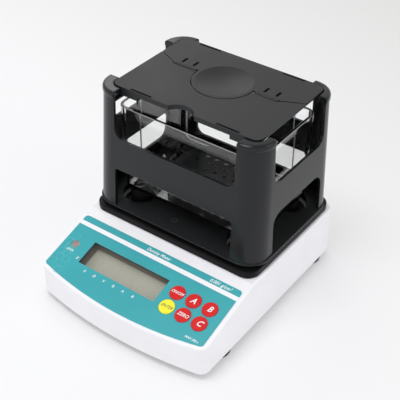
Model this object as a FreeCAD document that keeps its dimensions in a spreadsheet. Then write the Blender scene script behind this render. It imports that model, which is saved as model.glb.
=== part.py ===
"""Benchtop density meter: a weighing base with a sloping control panel, a tray on its load cell,
a black frame over a clear water tank, and a lift-off table with a hinged front flap.

Millimetres, +Z up, +X to the user's right, -Y towards the user.
The origin is under the middle of the base, on the surface it stands on.
"""
import FreeCAD, Part
import math
import os
import Sketcher
from FreeCAD import Placement, Rotation, Vector

doc = FreeCAD.newDocument("DensityMeter")

# ---------------------------------------------------------------- driving dimensions
SIZES = [
    # weighing base: moulded upper housing with a flat deck and a sloping panel
    ("base_width", 190.0), ("base_length", 227.0), ("front_bow", 10.5),
    ("base_edge", 7.0), ("deck_top", 60.0), ("panel_run", 83.5), ("panel_angle", 16.5),
    ("base_wall", 2.8), ("base_corner", 9.0), ("base_round", 2.2), ("ridge_round", 3.5),
    ("boss_radius", 3.5), ("boss_inset", 11.0), ("boss_setback", 12.0), ("boss_rear_inset", 9.5),
    # pan under the housing and the levelling feet screwed into it
    ("pan_bottom", 5.5), ("pan_thick", 2.5), ("pan_gap", 0.3),
    ("foot_inset", 14.0), ("foot_front_inset", 48.5), ("foot_rear_inset", 20.5), ("foot_radius", 12.5),
    ("foot_height", 5.2), ("foot_edge", 0.8), ("stem_radius", 3.0), ("stem_top", 16.0),
    ("stem_fit", 0.06), ("nut_radius", 6.5), ("nut_height", 8.0),
    # things on the panel, measured along the slope from the ridge
    ("overlay_margin", 4.0), ("overlay_start", 10.85), ("overlay_front", 2.2),
    ("overlay_thick", 0.6), ("overlay_corner", 3.0),
    ("window_side", 32.6), ("window_key_gap", 6.7), ("window_height", 25.6), ("window_down", 45.65),
    ("bezel_wall", 1.5), ("bezel_depth", 11.0), ("bezel_lip", 2.5), ("lcd_thick", 2.8),
    ("panel_gap", 0.2),
    ("level_side", 16.4), ("level_down", 43.6), ("level_radius", 5.75), ("level_window", 4.2),
    ("level_depth", 8.0),
    ("key_side", 54.6), ("key_down", 40.4), ("key_pitch_x", 17.7), ("key_pitch_y", 16.4),
    ("key_radius", 7.4), ("key_proud", 0.7), ("key_lip", 0.6), ("key_lip_thick", 1.0),
    ("key_stem", 2.0), ("key_travel", 0.6), ("key_edge", 0.3), ("key_slack", 0.1),
    ("switch_size", 6.0), ("switch_height", 3.6), ("board_thick", 1.6), ("board_side", 10.0),
    ("switch_gap", 0.05), ("stud_radius", 2.1),
    # weighing train inside the base
    ("cell_length", 80.0), ("cell_width", 15.0), ("cell_height", 15.0), ("cell_front", -24.0),
    ("cell_bottom", 22.0), ("cell_hole", 4.6), ("cell_web", 7.0), ("cell_slot", 1.0),
    ("mount_length", 20.0), ("post_radius", 12.0), ("post_inset", 10.0), ("post_hole", 20.0),
    ("main_board_x", 110.0), ("main_board_y", 56.0), ("main_board_inset", 15.5),
    ("main_board_z", 14.0), ("standoff_radius", 3.0),
    # spider on the load cell and the tray it carries
    ("tray_bottom", 60.8), ("tray_top", 67.0), ("tray_skin", 2.5), ("tray_half_x", 92.0),
    ("tray_front", -29.2), ("tray_rear", 111.5), ("tray_corner", 13.0), ("tray_wall", 2.5),
    ("tray_edge", 0.8),
    ("spider_thick", 3.0), ("spider_long", 125.0), ("spider_wide", 30.0), ("spider_arm_x", 140.0),
    ("spider_arm_y", 24.0), ("spider_corner", 7.0), ("screw_x", -8.0), ("screw_front", -10.0), ("screw_rear", 100.0),
    ("screw_radius", 1.5), ("screw_head", 3.3), ("screw_head_thick", 1.2), ("screw_fit", 0.1),
    # pillars that carry the tank through the tray without touching it
    ("pillar_x", 61.5), ("pillar_front", 7.0), ("pillar_rear", 81.0), ("pillar_radius", 10.0),
    ("pillar_top", 79.0), ("collar_radius", 16.5), ("collar_thick", 1.2), ("collar_fit", 0.05), ("pillar_gap", 0.4),
    ("pillar_way", 18.0), ("pad_radius", 5.5), ("pad_bore", 3.0), ("pad_thick", 1.0),
    # frame: floor, four hollow posts with a belt, bead caps
    ("frame_x", -1.6), ("frame_half_x", 93.4), ("frame_front", -24.6), ("frame_rear", 110.8),
    ("frame_foot", 1.6), ("frame_floor", 1.8), ("frame_foot_inset", 6.0), ("frame_lip", 1.2),
    ("frame_wall", 2.6),
    ("post_half_x", 89.6), ("post_front", -19.2), ("post_rear", 108.4), ("post_corner", 21.5),
    ("cap_below", 0.8), ("cap_height", 5.9), ("cap_proud", 0.8), ("cap_round", 2.6), ("cap_ease", 1.0),
    ("belt_bottom", 112.5), ("belt_top", 145.5), ("window_half_x", 66.0), ("side_window_y", 45.0),
    ("side_window_half", 41.0), ("upper_round", 10.0), ("lower_round", 12.0), ("front_round", 3.0),
    ("sill_top", 84.5), ("sill_round", 8.0), ("ledge_below", 8.8), ("ledge_thick", 2.4),
    ("ledge_inset", 1.4),
    # clear tank
    ("tank_y", 44.0), ("tank_half_x", 76.7), ("tank_half_y", 50.45), ("tank_below", 13.7),
    ("tank_angle", 1.6), ("tank_wall", 3.0),
    ("tank_corner", 10.0), ("tank_rim_edge", 0.5),
    # lift-off table, its flap and hinges
    ("table_half_x", 79.2), ("table_front", -8.5), ("table_rear", 101.1), ("table_corner", 8.0),
    ("table_top", 193.2), ("plate_thick", 2.2), ("skirt_height", 4.8), ("skirt_thick", 1.2),
    ("cap_gap", 0.6), ("cap_inner_round", 8.6),
    ("hinge_y", 55.3), ("hinge_drop", 0.8), ("hinge_radius", 1.5), ("pin_radius", 0.75),
    ("pin_fit", 0.06), ("hinge_setback", 1.9), ("hinge_start", 32.5), ("hinge_end", 57.0),
    ("knuckle_width", 4.8), ("knuckle_gap", 0.3), ("seam_gap", 1.0), ("ear_x", 57.6), ("ear_gap", 0.3),
    ("ear_rise", 10.7), ("notch_x", -1.0), ("notch_half", 14.0), ("notch_depth", 8.6),
    ("notch_round", 5.0),
    ("dish_y", 55.0), ("dish_radius", 30.0), ("dish_land", 3.0), ("dish_depth", 1.8),
    ("slot_start", 35.0), ("slot_end", 58.0), ("slot_width", 1.6),
    ("hook_x", 39.0), ("hook_pitch", 12.5), ("hook_y", 61.0), ("hook_length", 7.7),
    ("hook_width", 2.0),
    # rails under the table that the basket hangs from
    ("rail_gap", 0.8), ("rail_width", 7.6), ("rail_thick", 3.2), ("rail_front", -5.0),
    ("rail_rear", 98.0), ("riser_front", 86.0), ("lug_inner", 49.5), ("lug_inset", 4.8),
    ("lug_front", -8.2), ("lug_rear", 2.0), ("peg_x", 51.0), ("peg_y", -6.6), ("peg_radius", 0.9),
    ("peg_length", 3.9),
    # basket under water: two wires and a shallow dish
    ("wire_radius", 0.7), ("wire_inset", 2.6), ("wire_front", 10.0), ("wire_rear", 80.0),
    ("wire_bottom", 96.0), ("wire_bend", 7.0), ("wire_head", 1.6), ("wire_head_thick", 1.0),
    ("wire_fit", 0.08), ("basket_y", 45.0), ("basket_radius", 42.0), ("basket_height", 4.0),
    ("basket_skin", 1.0), ("basket_flat", 36.0),
    # sockets in the rear wall
    ("inlet_x", -60.0), ("socket_z", 30.0), ("inlet_radius", 5.5), ("inlet_bore", 3.2),
    ("inlet_depth", 11.0), ("inlet_pin", 1.1), ("socket_lip", 1.5),
    ("port_x", 45.0), ("port_width", 31.0), ("port_height", 12.5), ("port_depth", 10.0),
    ("port_shell_x", 17.0), ("port_shell_z", 8.4), ("port_margin", 1.2),
    ("port_sunk", 0.2), ("socket_floor", 1.5),
    # spare reach of cutting shapes past what they cut, and roots of webs inside their plates
    ("cut_over", 10.0), ("web_root", 0.4),
]

sheet = doc.addObject("Spreadsheet::Sheet", "Sizes")
for row, (alias, number) in enumerate(SIZES, start=1):
    sheet.set("A%d" % row, alias)
    sheet.set("B%d" % row, str(number))
    sheet.setAlias("B%d" % row, alias)
doc.recompute()


class Size:
    """A length, angle or number from the sheet: its value, and the expression that follows it."""

    def __init__(self, value, text):
        self.value = float(value)
        self.text = text

    def __add__(self, other):
        other = as_size(other)
        return Size(self.value + other.value, "(%s + %s)" % (self.text, other.text))

    def __sub__(self, other):
        other = as_size(other)
        return Size(self.value - other.value, "(%s - %s)" % (self.text, other.text))

    def __mul__(self, other):
        other = as_size(other)
        return Size(self.value * other.value, "(%s * %s)" % (self.text, other.text))

    def __truediv__(self, other):
        other = as_size(other)
        return Size(self.value / other.value, "(%s / %s)" % (self.text, other.text))

    def __radd__(self, other):
        return as_size(other) + self

    def __rsub__(self, other):
        return as_size(other) - self

    def __rmul__(self, other):
        return as_size(other) * self

    def __neg__(self):
        return Size(-self.value, "(0 - %s)" % self.text)


def as_size(number):
    """A plain number stays a plain number in the expression."""
    if isinstance(number, Size):
        return number
    return Size(number, repr(float(number)))


class Sheet:
    """size.base_width and so on: each alias of the sheet as a Size."""

    def __getattr__(self, alias):
        return Size(sheet.get(alias), "Sizes." + alias)


size = Sheet()
ANGLE = math.radians(size.panel_angle.value)
SLOPE = Size(math.tan(ANGLE), "tan(Sizes.panel_angle)")
LEAN = Size(math.sin(ANGLE), "sin(Sizes.panel_angle)")
UPRIGHT = Size(math.cos(ANGLE), "cos(Sizes.panel_angle)")

# ---------------------------------------------------------------- places shared by several pieces
rear_y = size.base_length / 2
front_y = -rear_y
corner_y = front_y + size.front_bow
half_base = size.base_width / 2
ridge_y = front_y + size.panel_run
boss_side = half_base - size.boss_inset
boss_front = ridge_y + size.boss_setback
boss_rear = rear_y - size.boss_rear_inset
foot_side = half_base - size.foot_inset
foot_front = front_y + size.foot_front_inset
foot_rear = rear_y - size.foot_rear_inset
key_x = half_base - size.key_side
level_x = size.level_side - half_base
window_left = size.window_side - half_base
window_right = key_x - size.key_radius - size.window_key_gap
window_x = (window_left + window_right) / 2
window_width = window_right - window_left
main_board_front = front_y + size.main_board_inset
pan_top = size.pan_bottom + size.pan_thick
frame_bottom = size.tray_top
lip_bottom = frame_bottom + size.frame_foot
floor_top = lip_bottom + size.frame_floor
tray_y = (size.tray_front + size.tray_rear) / 2
spider_top = size.tray_top - size.tray_skin
spider_bottom = spider_top - size.spider_thick
tank_bottom = size.pillar_top + size.pad_thick
plate_bottom = size.table_top - size.plate_thick
skirt_bottom = size.table_top - size.skirt_height
hinge_z = size.table_top - size.hinge_drop
cap_top = size.table_top - size.cap_below
cap_bottom = cap_top - size.cap_height
ledge_top = size.table_top - size.ledge_below
tank_top = ledge_top - size.tank_below
lug_outer = size.table_half_x - size.lug_inset
rail_outer = size.frame_x + size.window_half_x - size.rail_gap
rail_inner = rail_outer - size.rail_width
wire_x = rail_outer - size.wire_inset
ear_end = size.hinge_y + size.ear_rise
rail_top = ledge_top + size.rail_thick
cell_top = size.cell_bottom + size.cell_height
post_y = size.cell_front + size.cell_length - size.post_inset
board_depth = size.base_wall + size.key_slack + size.key_lip_thick
stem_length = size.switch_height / 3
board_top = board_depth + stem_length + size.key_travel + size.switch_gap + size.switch_height

NODES = []


# ---------------------------------------------------------------- helpers
def bind(thing, name, amount):
    """Set a property and tie it to the sheet."""
    setattr(thing, name, amount.value)
    thing.setExpression(name, amount.text)


def new_body(label):
    """A PartDesign body for one sub-part."""
    body = doc.addObject("PartDesign::Body", label)
    body.Label = label
    NODES.append(body)
    return body


def origin_plane(body, role):
    for feature in body.Origin.OriginFeatures:
        if feature.Role == role:
            return feature


def new_sketch(body, name, role="XY_Plane", lift=None):
    """Sketch on an origin plane of the body, lifted along the plane's normal."""
    sketch = body.newObject("Sketcher::SketchObject", name)
    sketch.AttachmentSupport = (origin_plane(body, role), [""])
    sketch.MapMode = "FlatFace"
    if lift is not None:
        sketch.AttachmentOffset = Placement(Vector(0, 0, lift.value), Rotation())
        sketch.setExpression("AttachmentOffset.Base.z", lift.text)
    return sketch


def panel_sketch(body, name, depth):
    """Sketch square to the sloping panel, its origin on the ridge, sunk by depth."""
    sketch = new_sketch(body, name)
    y = ridge_y + depth * LEAN
    z = size.deck_top - depth * UPRIGHT
    turn = Rotation(Vector(1, 0, 0), size.panel_angle.value)
    sketch.AttachmentOffset = Placement(Vector(0, y.value, z.value), turn)
    sketch.setExpression("AttachmentOffset.Base.y", y.text)
    sketch.setExpression("AttachmentOffset.Base.z", z.text)
    sketch.setExpression("AttachmentOffset.Rotation.Angle", "Sizes.panel_angle")
    return sketch


def fix_point(sketch, geometry, point, x, y):
    """Place one point of a curve from the sketch's origin."""
    for kind, number, axis in (("DistanceX", as_size(x), -2), ("DistanceY", as_size(y), -1)):
        if number.value == 0:
            sketch.addConstraint(Sketcher.Constraint("PointOnObject", geometry, point, axis))
            continue
        rule = Sketcher.Constraint(kind, -1, 1, geometry, point, number.value)
        index = sketch.addConstraint(rule)
        sketch.setExpression("Constraints[%d]" % index, number.text)


def fix_radius(sketch, geometry, radius):
    index = sketch.addConstraint(Sketcher.Constraint("Radius", geometry, radius.value))
    sketch.setExpression("Constraints[%d]" % index, radius.text)


def circle(sketch, x, y, radius):
    centre = Vector(as_size(x).value, as_size(y).value, 0)
    geometry = sketch.addGeometry(Part.Circle(centre, Vector(0, 0, 1), radius.value), False)
    fix_point(sketch, geometry, 3, x, y)
    fix_radius(sketch, geometry, radius)


ON_AXIS = "on the axis"


def outline(sketch, corners, bows=None):
    """Closed outline through the corners. bows[i] bends the side after corner i into an arc:
    it is the arc's height, positive to the right of the way from corner i to the next, or
    ON_AXIS for an arc centred on the sketch's upright axis."""
    bows = bows or {}
    count = len(corners)
    spots = [Vector(as_size(x).value, as_size(y).value, 0) for x, y in corners]
    sides = []
    for i in range(count):
        start, end = spots[i], spots[(i + 1) % count]
        if bows.get(i) == ON_AXIS:
            high = (end.x ** 2 - start.x ** 2 + end.y ** 2 - start.y ** 2) / (end.y - start.y) / 2
            centre = Vector(0, high, 0)
            reach = (start - centre).Length
            crown = centre + ((start + end) * 0.5 - centre).normalize() * reach
            ahead = (start - centre).cross(end - centre).z > 0
            ends = (start, end) if ahead else (end, start)
            curve = Part.Arc(ends[0], crown, ends[1])
        elif i in bows:
            across = end - start
            right = Vector(across.y, -across.x, 0).normalize()
            crown = (start + end) * 0.5 + right * bows[i].value
            ends = (start, end) if bows[i].value > 0 else (end, start)
            curve = Part.Arc(ends[0], crown, ends[1])
        else:
            curve = Part.LineSegment(start, end)
        sides.append(sketch.addGeometry(curve, False))

    def end_at(side, spot):
        curve = sketch.Geometry[side]
        from_start = (curve.StartPoint - spot).Length
        return 1 if from_start < (curve.EndPoint - spot).Length else 2

    for i in range(count):
        j = (i + 1) % count
        this_end = end_at(sides[i], spots[j])
        next_end = end_at(sides[j], spots[j])
        rule = Sketcher.Constraint("Coincident", sides[i], this_end, sides[j], next_end)
        sketch.addConstraint(rule)
    for i in range(count):
        x, y = corners[i]
        fix_point(sketch, sides[i], end_at(sides[i], spots[i]), x, y)
    for i in bows:
        if bows[i] == ON_AXIS:
            sketch.addConstraint(Sketcher.Constraint("PointOnObject", sides[i], 3, -2))
            continue
        dx = as_size(corners[(i + 1) % count][0]) - corners[i][0]
        dy = as_size(corners[(i + 1) % count][1]) - corners[i][1]
        rise = bows[i] if bows[i].value > 0 else -bows[i]
        chord = (dx * dx + dy * dy) / 4
        fix_radius(sketch, sides[i], (chord + rise * rise) / (rise * 2))


def rectangle(sketch, left, right, low, high):
    outline(sketch, [(left, low), (right, low), (right, high), (left, high)])


def round_rectangle(sketch, left, right, low, high, radius):
    """Rectangle with tangent corner arcs."""
    x0, x1, y0, y1 = [as_size(n).value for n in (left, right, low, high)]
    r = radius.value
    lines = []
    arcs = []
    ends = [
        (Vector(x0 + r, y0, 0), Vector(x1 - r, y0, 0)),
        (Vector(x1, y0 + r, 0), Vector(x1, y1 - r, 0)),
        (Vector(x1 - r, y1, 0), Vector(x0 + r, y1, 0)),
        (Vector(x0, y1 - r, 0), Vector(x0, y0 + r, 0)),
    ]
    centres = [Vector(x1 - r, y0 + r, 0), Vector(x1 - r, y1 - r, 0),
               Vector(x0 + r, y1 - r, 0), Vector(x0 + r, y0 + r, 0)]
    for i in range(4):
        lines.append(sketch.addGeometry(Part.LineSegment(*ends[i]), False))
        full = Part.Circle(centres[i], Vector(0, 0, 1), r)
        turn = math.pi / 2
        arc = Part.ArcOfCircle(full, turn * (i - 1), turn * i)
        arcs.append(sketch.addGeometry(arc, False))
    for i in range(4):
        follow = lines[(i + 1) % 4]
        sketch.addConstraint(Sketcher.Constraint("Tangent", lines[i], 2, arcs[i], 1))
        sketch.addConstraint(Sketcher.Constraint("Tangent", arcs[i], 2, follow, 1))
        level = "Horizontal" if i % 2 == 0 else "Vertical"
        sketch.addConstraint(Sketcher.Constraint(level, lines[i]))
    for line, kind, number in ((lines[3], "DistanceX", left), (lines[1], "DistanceX", right),
                               (lines[0], "DistanceY", low), (lines[2], "DistanceY", high)):
        number = as_size(number)
        rule = Sketcher.Constraint(kind, -1, 1, line, 1, number.value)
        index = sketch.addConstraint(rule)
        sketch.setExpression("Constraints[%d]" % index, number.text)
    fix_radius(sketch, arcs[0], radius)
    for arc in arcs[1:]:
        sketch.addConstraint(Sketcher.Constraint("Equal", arcs[0], arc))


def pad(body, name, sketch, length, reverse=False, both=False):
    feature = body.newObject("PartDesign::Pad", name)
    feature.Profile = sketch
    bind(feature, "Length", length)
    feature.Reversed = reverse
    feature.Midplane = both
    return feature


def pocket(body, name, sketch, depth, reverse=False, both=False):
    """Cut, and make sure that something was cut."""
    doc.recompute()
    before = body.Tip.Shape.Volume
    feature = body.newObject("PartDesign::Pocket", name)
    feature.Profile = sketch
    bind(feature, "Length", depth)
    feature.Reversed = reverse
    feature.Midplane = both
    doc.recompute()
    if feature.Shape.isNull() or feature.Shape.Volume > before - 1e-3:
        raise RuntimeError("%s of %s cuts nothing" % (name, body.Label))
    return feature


def edges_of(shape, wanted):
    return ["Edge%d" % (i + 1) for i, edge in enumerate(shape.Edges) if wanted(edge)]


def dress(body, kind, name, amount, wanted):
    """Fillet or chamfer the edges of the body so far that are wanted."""
    doc.recompute()
    base = body.Tip
    names = edges_of(base.Shape, wanted)
    if not names:
        raise RuntimeError("%s of %s finds no edge" % (name, body.Label))
    feature = body.newObject("PartDesign::" + kind, name)
    feature.Base = (base, names)
    bind(feature, "Radius" if kind == "Fillet" else "Size", amount)
    doc.recompute()
    return feature


def middle(edge):
    return edge.valueAt((edge.FirstParameter + edge.LastParameter) / 2)


def upright(edge):
    """A straight edge along Z."""
    if edge.Curve.TypeId != "Part::GeomLine":
        return False
    return abs(abs(edge.tangentAt(edge.FirstParameter).z) - 1) < 1e-6


def at_height(amount):
    """Edges that lie at one height."""
    return lambda edge: (abs(edge.BoundBox.ZMin - amount.value) < 1e-4
                         and abs(edge.BoundBox.ZMax - amount.value) < 1e-4)


def revolve(body, name, sketch, kind="Revolution"):
    feature = body.newObject("PartDesign::" + kind, name)
    feature.Profile = sketch
    feature.ReferenceAxis = (sketch, ["V_Axis"])
    feature.Angle = 360
    return feature


def place(body, x, y, z, tilt=False):
    """The sub-part's own placement, tied to the sheet; tilt leans it with the panel."""
    x, y, z = as_size(x), as_size(y), as_size(z)
    turn = Rotation(Vector(1, 0, 0), size.panel_angle.value) if tilt else Rotation()
    body.Placement = Placement(Vector(x.value, y.value, z.value), turn)
    body.setExpression("Placement.Base.x", x.text)
    body.setExpression("Placement.Base.y", y.text)
    body.setExpression("Placement.Base.z", z.text)
    if tilt:
        body.setExpression("Placement.Rotation.Angle", "Sizes.panel_angle")


def place_on_panel(body, x, down):
    """Stand a sub-part on the housing's panel surface, x across and down along the slope."""
    down = as_size(down)
    place(body, x, ridge_y - down * UPRIGHT, size.deck_top - down * LEAN, tilt=True)


def leaning_block(body, name, low, high, foot, head, corner):
    """Block with rounded corners whose four sides lean from the low plan to the high one.
    A plan is (left, right, front, rear)."""
    widest = [max(pair, key=lambda n: n.value * way)
              for pair, way in zip(zip(low, high), (-1, 1, -1, 1))]
    plan = new_sketch(body, name + "Plan", lift=foot)
    rectangle(plan, *widest)
    pad(body, name + "Block", plan, head - foot)
    reach = (widest[1] - widest[0]) + (widest[3] - widest[2])
    for plane, first in (("XZ_Plane", 0), ("YZ_Plane", 2)):
        lean = new_sketch(body, name + plane[:2] + "Lean", plane)
        for i, way in ((first, -1), (first + 1, 1)):
            over = widest[i] + size.cut_over * way
            outline(lean, [(low[i], foot), (over, foot), (over, head), (high[i], head)])
        pocket(body, name + plane[:2] + "LeanCut", lean, reach, both=True)
    rise = head - foot
    corners = dress(body, "Fillet", name + "Corners", corner,
                    lambda edge: edge.BoundBox.ZLength > rise.value - 1e-3)
    corners.Refine = False


def hollow(body, name, wall, levels):
    """Leave one even wall inside the skin, open at the flat faces at these heights."""
    doc.recompute()
    block = body.Tip
    ends = ["Face%d" % (i + 1) for i, face in enumerate(block.Shape.Faces)
            if any(abs(face.BoundBox.ZMax - level.value) < 1e-4
                   and abs(face.BoundBox.ZMin - level.value) < 1e-4 for level in levels)]
    if len(ends) != len(levels):
        raise RuntimeError("%s of %s finds %d open faces" % (name, body.Label, len(ends)))
    shell = body.newObject("PartDesign::Thickness", name)
    shell.Base = (block, ends)
    bind(shell, "Value", wall)
    shell.Mode = "Skin"
    shell.Join = "Intersection"
    shell.Reversed = True
    shell.Refine = False
    doc.recompute()


def plan_of_base(sketch, inset):
    """Plan of the base: straight sides and rear, bowed front."""
    side = half_base - inset
    back = rear_y - inset
    front = corner_y + inset
    corners = [(-side, front), (side, front), (side, back), (-side, back)]
    outline(sketch, corners, {0: size.front_bow})


# ---------------------------------------------------------------- base housing
def make_housing():
    """White moulded upper housing: bowed front, flat deck, sloping panel, open underneath."""
    body = new_body("base_housing")
    plan = new_sketch(body, "HousingPlan", lift=size.base_edge)
    plan_of_base(plan, as_size(0))
    pad(body, "HousingBlock", plan, size.deck_top - size.base_edge)
    dress(body, "Fillet", "HousingCorners", size.base_corner, upright)

    # everything above the sloping panel is taken off
    slope = new_sketch(body, "PanelSlope", "YZ_Plane")
    far_front = ridge_y - size.base_length
    drop = size.base_length * SLOPE
    outline(slope, [(ridge_y, size.deck_top), (far_front, size.deck_top - drop),
                    (far_front, size.deck_top + size.cut_over),
                    (ridge_y, size.deck_top + size.cut_over)])
    pocket(body, "PanelCut", slope, size.base_width + size.cut_over, both=True)

    # one even wall, open at the bottom
    hollow(body, "HousingShell", size.base_wall, [size.base_edge])

    def on_skin(point):
        top = min(0, (point.y - ridge_y.value) * SLOPE.value)
        return abs(point.z - size.deck_top.value - top) < 1e-3

    def ridge(edge):
        ends = [vertex.Point for vertex in edge.Vertexes]
        level = all(abs(end.y - ridge_y.value) < 1e-4 for end in ends)
        return level and all(on_skin(end) for end in ends)

    dress(body, "Fillet", "HousingRidge", size.ridge_round, ridge)

    def rim(edge):
        spot = middle(edge)
        curve = [edge.valueAt(edge.FirstParameter), spot, edge.valueAt(edge.LastParameter)]
        flat = all(on_skin(point) for point in curve)
        inside = abs(spot.x) < half_base.value - size.base_corner.value
        across = abs(spot.y - ridge_y.value) < size.ridge_round.value
        return flat and not (inside and across)

    dress(body, "Fillet", "HousingRim", size.base_round, rim)

    # ways through the deck for the load-cell post and the four tank pillars
    ways = new_sketch(body, "DeckWays", lift=size.deck_top)
    circle(ways, 0, post_y, size.post_hole)
    for y in (size.pillar_front, size.pillar_rear):
        for x in (-size.pillar_x, size.pillar_x):
            circle(ways, x, y, size.pillar_radius + size.pillar_gap)
    pocket(body, "DeckHoles", ways, size.base_wall * 2)

    # panel openings: display, bubble level, six keys
    holes = panel_sketch(body, "PanelOpenings", as_size(0))
    grow = size.bezel_wall + size.panel_gap
    half_w = window_width / 2 + grow
    half_h = size.window_height / 2 + grow
    rectangle(holes, window_x - half_w, window_x + half_w,
              -size.window_down - half_h, half_h - size.window_down)
    circle(holes, level_x, -size.level_down, size.level_radius + size.panel_gap)
    for column in range(3):
        for row in range(2):
            x = key_x + size.key_pitch_x * column
            down = size.key_down + size.key_pitch_y * row
            circle(holes, x, -down, size.key_radius + size.panel_gap)
    pocket(body, "PanelHoles", holes, size.base_wall * 2)

    # two bosses between the keys hold the keypad board
    studs = panel_sketch(body, "KeypadBosses", size.base_wall / 2)
    for column in range(2):
        x = key_x + size.key_pitch_x * (column + 0.5)
        circle(studs, x, -(size.key_down + size.key_pitch_y / 2), size.stud_radius)
    pad(body, "KeypadBossPads", studs, board_top - size.base_wall / 2, reverse=True)

    # four bosses stand on the pan
    bosses = new_sketch(body, "HousingBosses", lift=pan_top)
    for x in (-boss_side, boss_side):
        for y in (boss_front, boss_rear):
            circle(bosses, x, y, size.boss_radius)
    pad(body, "HousingBossPads", bosses, size.deck_top - pan_top - size.base_wall / 2)

    # rear wall openings for the power inlet and the serial port
    rear = new_sketch(body, "SocketOpenings", "XZ_Plane", lift=-(rear_y - size.base_wall * 2))
    circle(rear, size.inlet_x, size.socket_z, size.inlet_radius + size.panel_gap)
    half_w = size.port_shell_x / 2 + size.port_margin
    half_h = size.port_shell_z / 2 + size.port_margin
    rectangle(rear, size.port_x - half_w, size.port_x + half_w,
              size.socket_z - half_h, size.socket_z + half_h)
    pocket(body, "SocketHoles", rear, size.base_wall * 3)
    return body


def make_pan():
    """Black pan that closes the base; nuts for the feet and standoffs for the board on it."""
    body = new_body("base_pan")
    plan = new_sketch(body, "PanPlan", lift=size.pan_bottom)
    plan_of_base(plan, size.base_wall + size.pan_gap)
    pad(body, "PanPlate", plan, size.pan_thick)
    corner = size.base_corner - size.base_wall
    dress(body, "Fillet", "PanCorners", corner, upright)

    nuts = new_sketch(body, "FootNuts", lift=pan_top)
    for x in (-foot_side, foot_side):
        for y in (foot_front, foot_rear):
            circle(nuts, x, y, size.nut_radius)
    pad(body, "FootNutPads", nuts, size.nut_height)

    studs = new_sketch(body, "BoardStandoffs", lift=pan_top)
    side = size.main_board_x / 2 - size.standoff_radius
    low = main_board_front + size.standoff_radius
    high = main_board_front + size.main_board_y - size.standoff_radius
    for x in (-side, side):
        for y in (low, high):
            circle(studs, x, y, size.standoff_radius)
    pad(body, "BoardStandoffPads", studs, size.main_board_z - pan_top)

    bores = new_sketch(body, "StemBores", lift=pan_top + size.nut_height)
    for x in (-foot_side, foot_side):
        for y in (foot_front, foot_rear):
            circle(bores, x, y, size.stem_radius + size.stem_fit)
    pocket(body, "StemHoles", bores, size.nut_height + size.pan_thick + 1)
    return body


def make_foot(label, x, y):
    """Levelling foot: a round disc with its threaded stem, turned by hand under the base."""
    body = new_body(label)
    half = new_sketch(body, label + "_half", "XZ_Plane")
    outline(half, [(0, 0), (size.foot_radius, 0), (size.foot_radius, size.foot_height),
                   (size.stem_radius, size.foot_height), (size.stem_radius, size.stem_top),
                   (0, size.stem_top)])
    revolve(body, label + "_turned", half)
    disc = lambda edge: (edge.BoundBox.XMax > size.foot_radius.value - 1e-3
                         and edge.BoundBox.ZLength < 1e-4)
    dress(body, "Chamfer", label + "_edge", size.foot_edge, disc)
    place(body, x, y, 0)
    return body


# ---------------------------------------------------------------- control panel
def make_overlay():
    """Teal membrane sheet on the panel, open over the display, the level and the keys."""
    body = new_body("panel_overlay")
    sheet_plan = new_sketch(body, "OverlayPlan")
    side = half_base - size.overlay_margin
    low_side = -((ridge_y - corner_y) / UPRIGHT) + size.overlay_front
    corners = [(-side, low_side), (side, low_side),
               (side, -size.overlay_start), (-side, -size.overlay_start)]
    outline(sheet_plan, corners, {0: size.front_bow})
    pad(body, "OverlaySheet", sheet_plan, size.overlay_thick)
    dress(body, "Fillet", "OverlayCorners", size.overlay_corner, upright)
    holes = new_sketch(body, "OverlayOpenings", lift=size.overlay_thick)
    half_w = window_width / 2
    half_h = size.window_height / 2
    rectangle(holes, window_x - half_w, window_x + half_w,
              -size.window_down - half_h, half_h - size.window_down)
    circle(holes, level_x, -size.level_down, size.level_window)
    for column in range(3):
        for row in range(2):
            x = key_x + size.key_pitch_x * column
            down = size.key_down + size.key_pitch_y * row
            circle(holes, x, -down, size.key_radius + size.panel_gap)
    pocket(body, "OverlayHoles", holes, size.overlay_thick * 2)
    place_on_panel(body, 0, 0)
    return body


def make_display():
    """Deep bezel through the panel wall, and the display glass closing it at the bottom."""
    bezel = new_body("lcd_bezel")
    half_w = window_width / 2
    half_h = size.window_height / 2
    wall = size.bezel_wall
    tube = new_sketch(bezel, "BezelTube")
    rectangle(tube, -(half_w + wall), half_w + wall, -(half_h + wall), half_h + wall)
    pad(bezel, "BezelBlock", tube, size.bezel_depth, reverse=True)
    lip = new_sketch(bezel, "BezelLip", lift=-size.base_wall)
    reach = wall + size.bezel_lip
    rectangle(lip, -(half_w + reach), half_w + reach, -(half_h + reach), half_h + reach)
    pad(bezel, "BezelFlange", lip, wall, reverse=True)
    light = new_sketch(bezel, "BezelWindow")
    rectangle(light, -half_w, half_w, -half_h, half_h)
    pocket(bezel, "BezelOpening", light, size.bezel_depth + 1)
    place_on_panel(bezel, window_x, size.window_down)

    glass = new_body("lcd_display")
    pane = new_sketch(glass, "DisplayPane", lift=-size.bezel_depth)
    rectangle(pane, -(half_w + wall), half_w + wall, -(half_h + wall), half_h + wall)
    pad(glass, "DisplayGlass", pane, size.lcd_thick, reverse=True)
    place_on_panel(glass, window_x, size.window_down)


def make_level():
    """Round bubble vial seated under the overlay's window."""
    body = new_body("bubble_level")
    half = new_sketch(body, "LevelHalf", "XZ_Plane")
    lip = size.level_radius + size.bezel_lip * 0.6
    low = -(size.base_wall + size.bezel_wall)
    outline(half, [(0, 0), (0, -size.level_depth), (size.level_radius, -size.level_depth),
                   (size.level_radius, low), (lip, low), (lip, -size.base_wall),
                   (size.level_radius, -size.base_wall), (size.level_radius, 0)])
    revolve(body, "LevelVial", half)
    place_on_panel(body, level_x, size.level_down)


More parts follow.
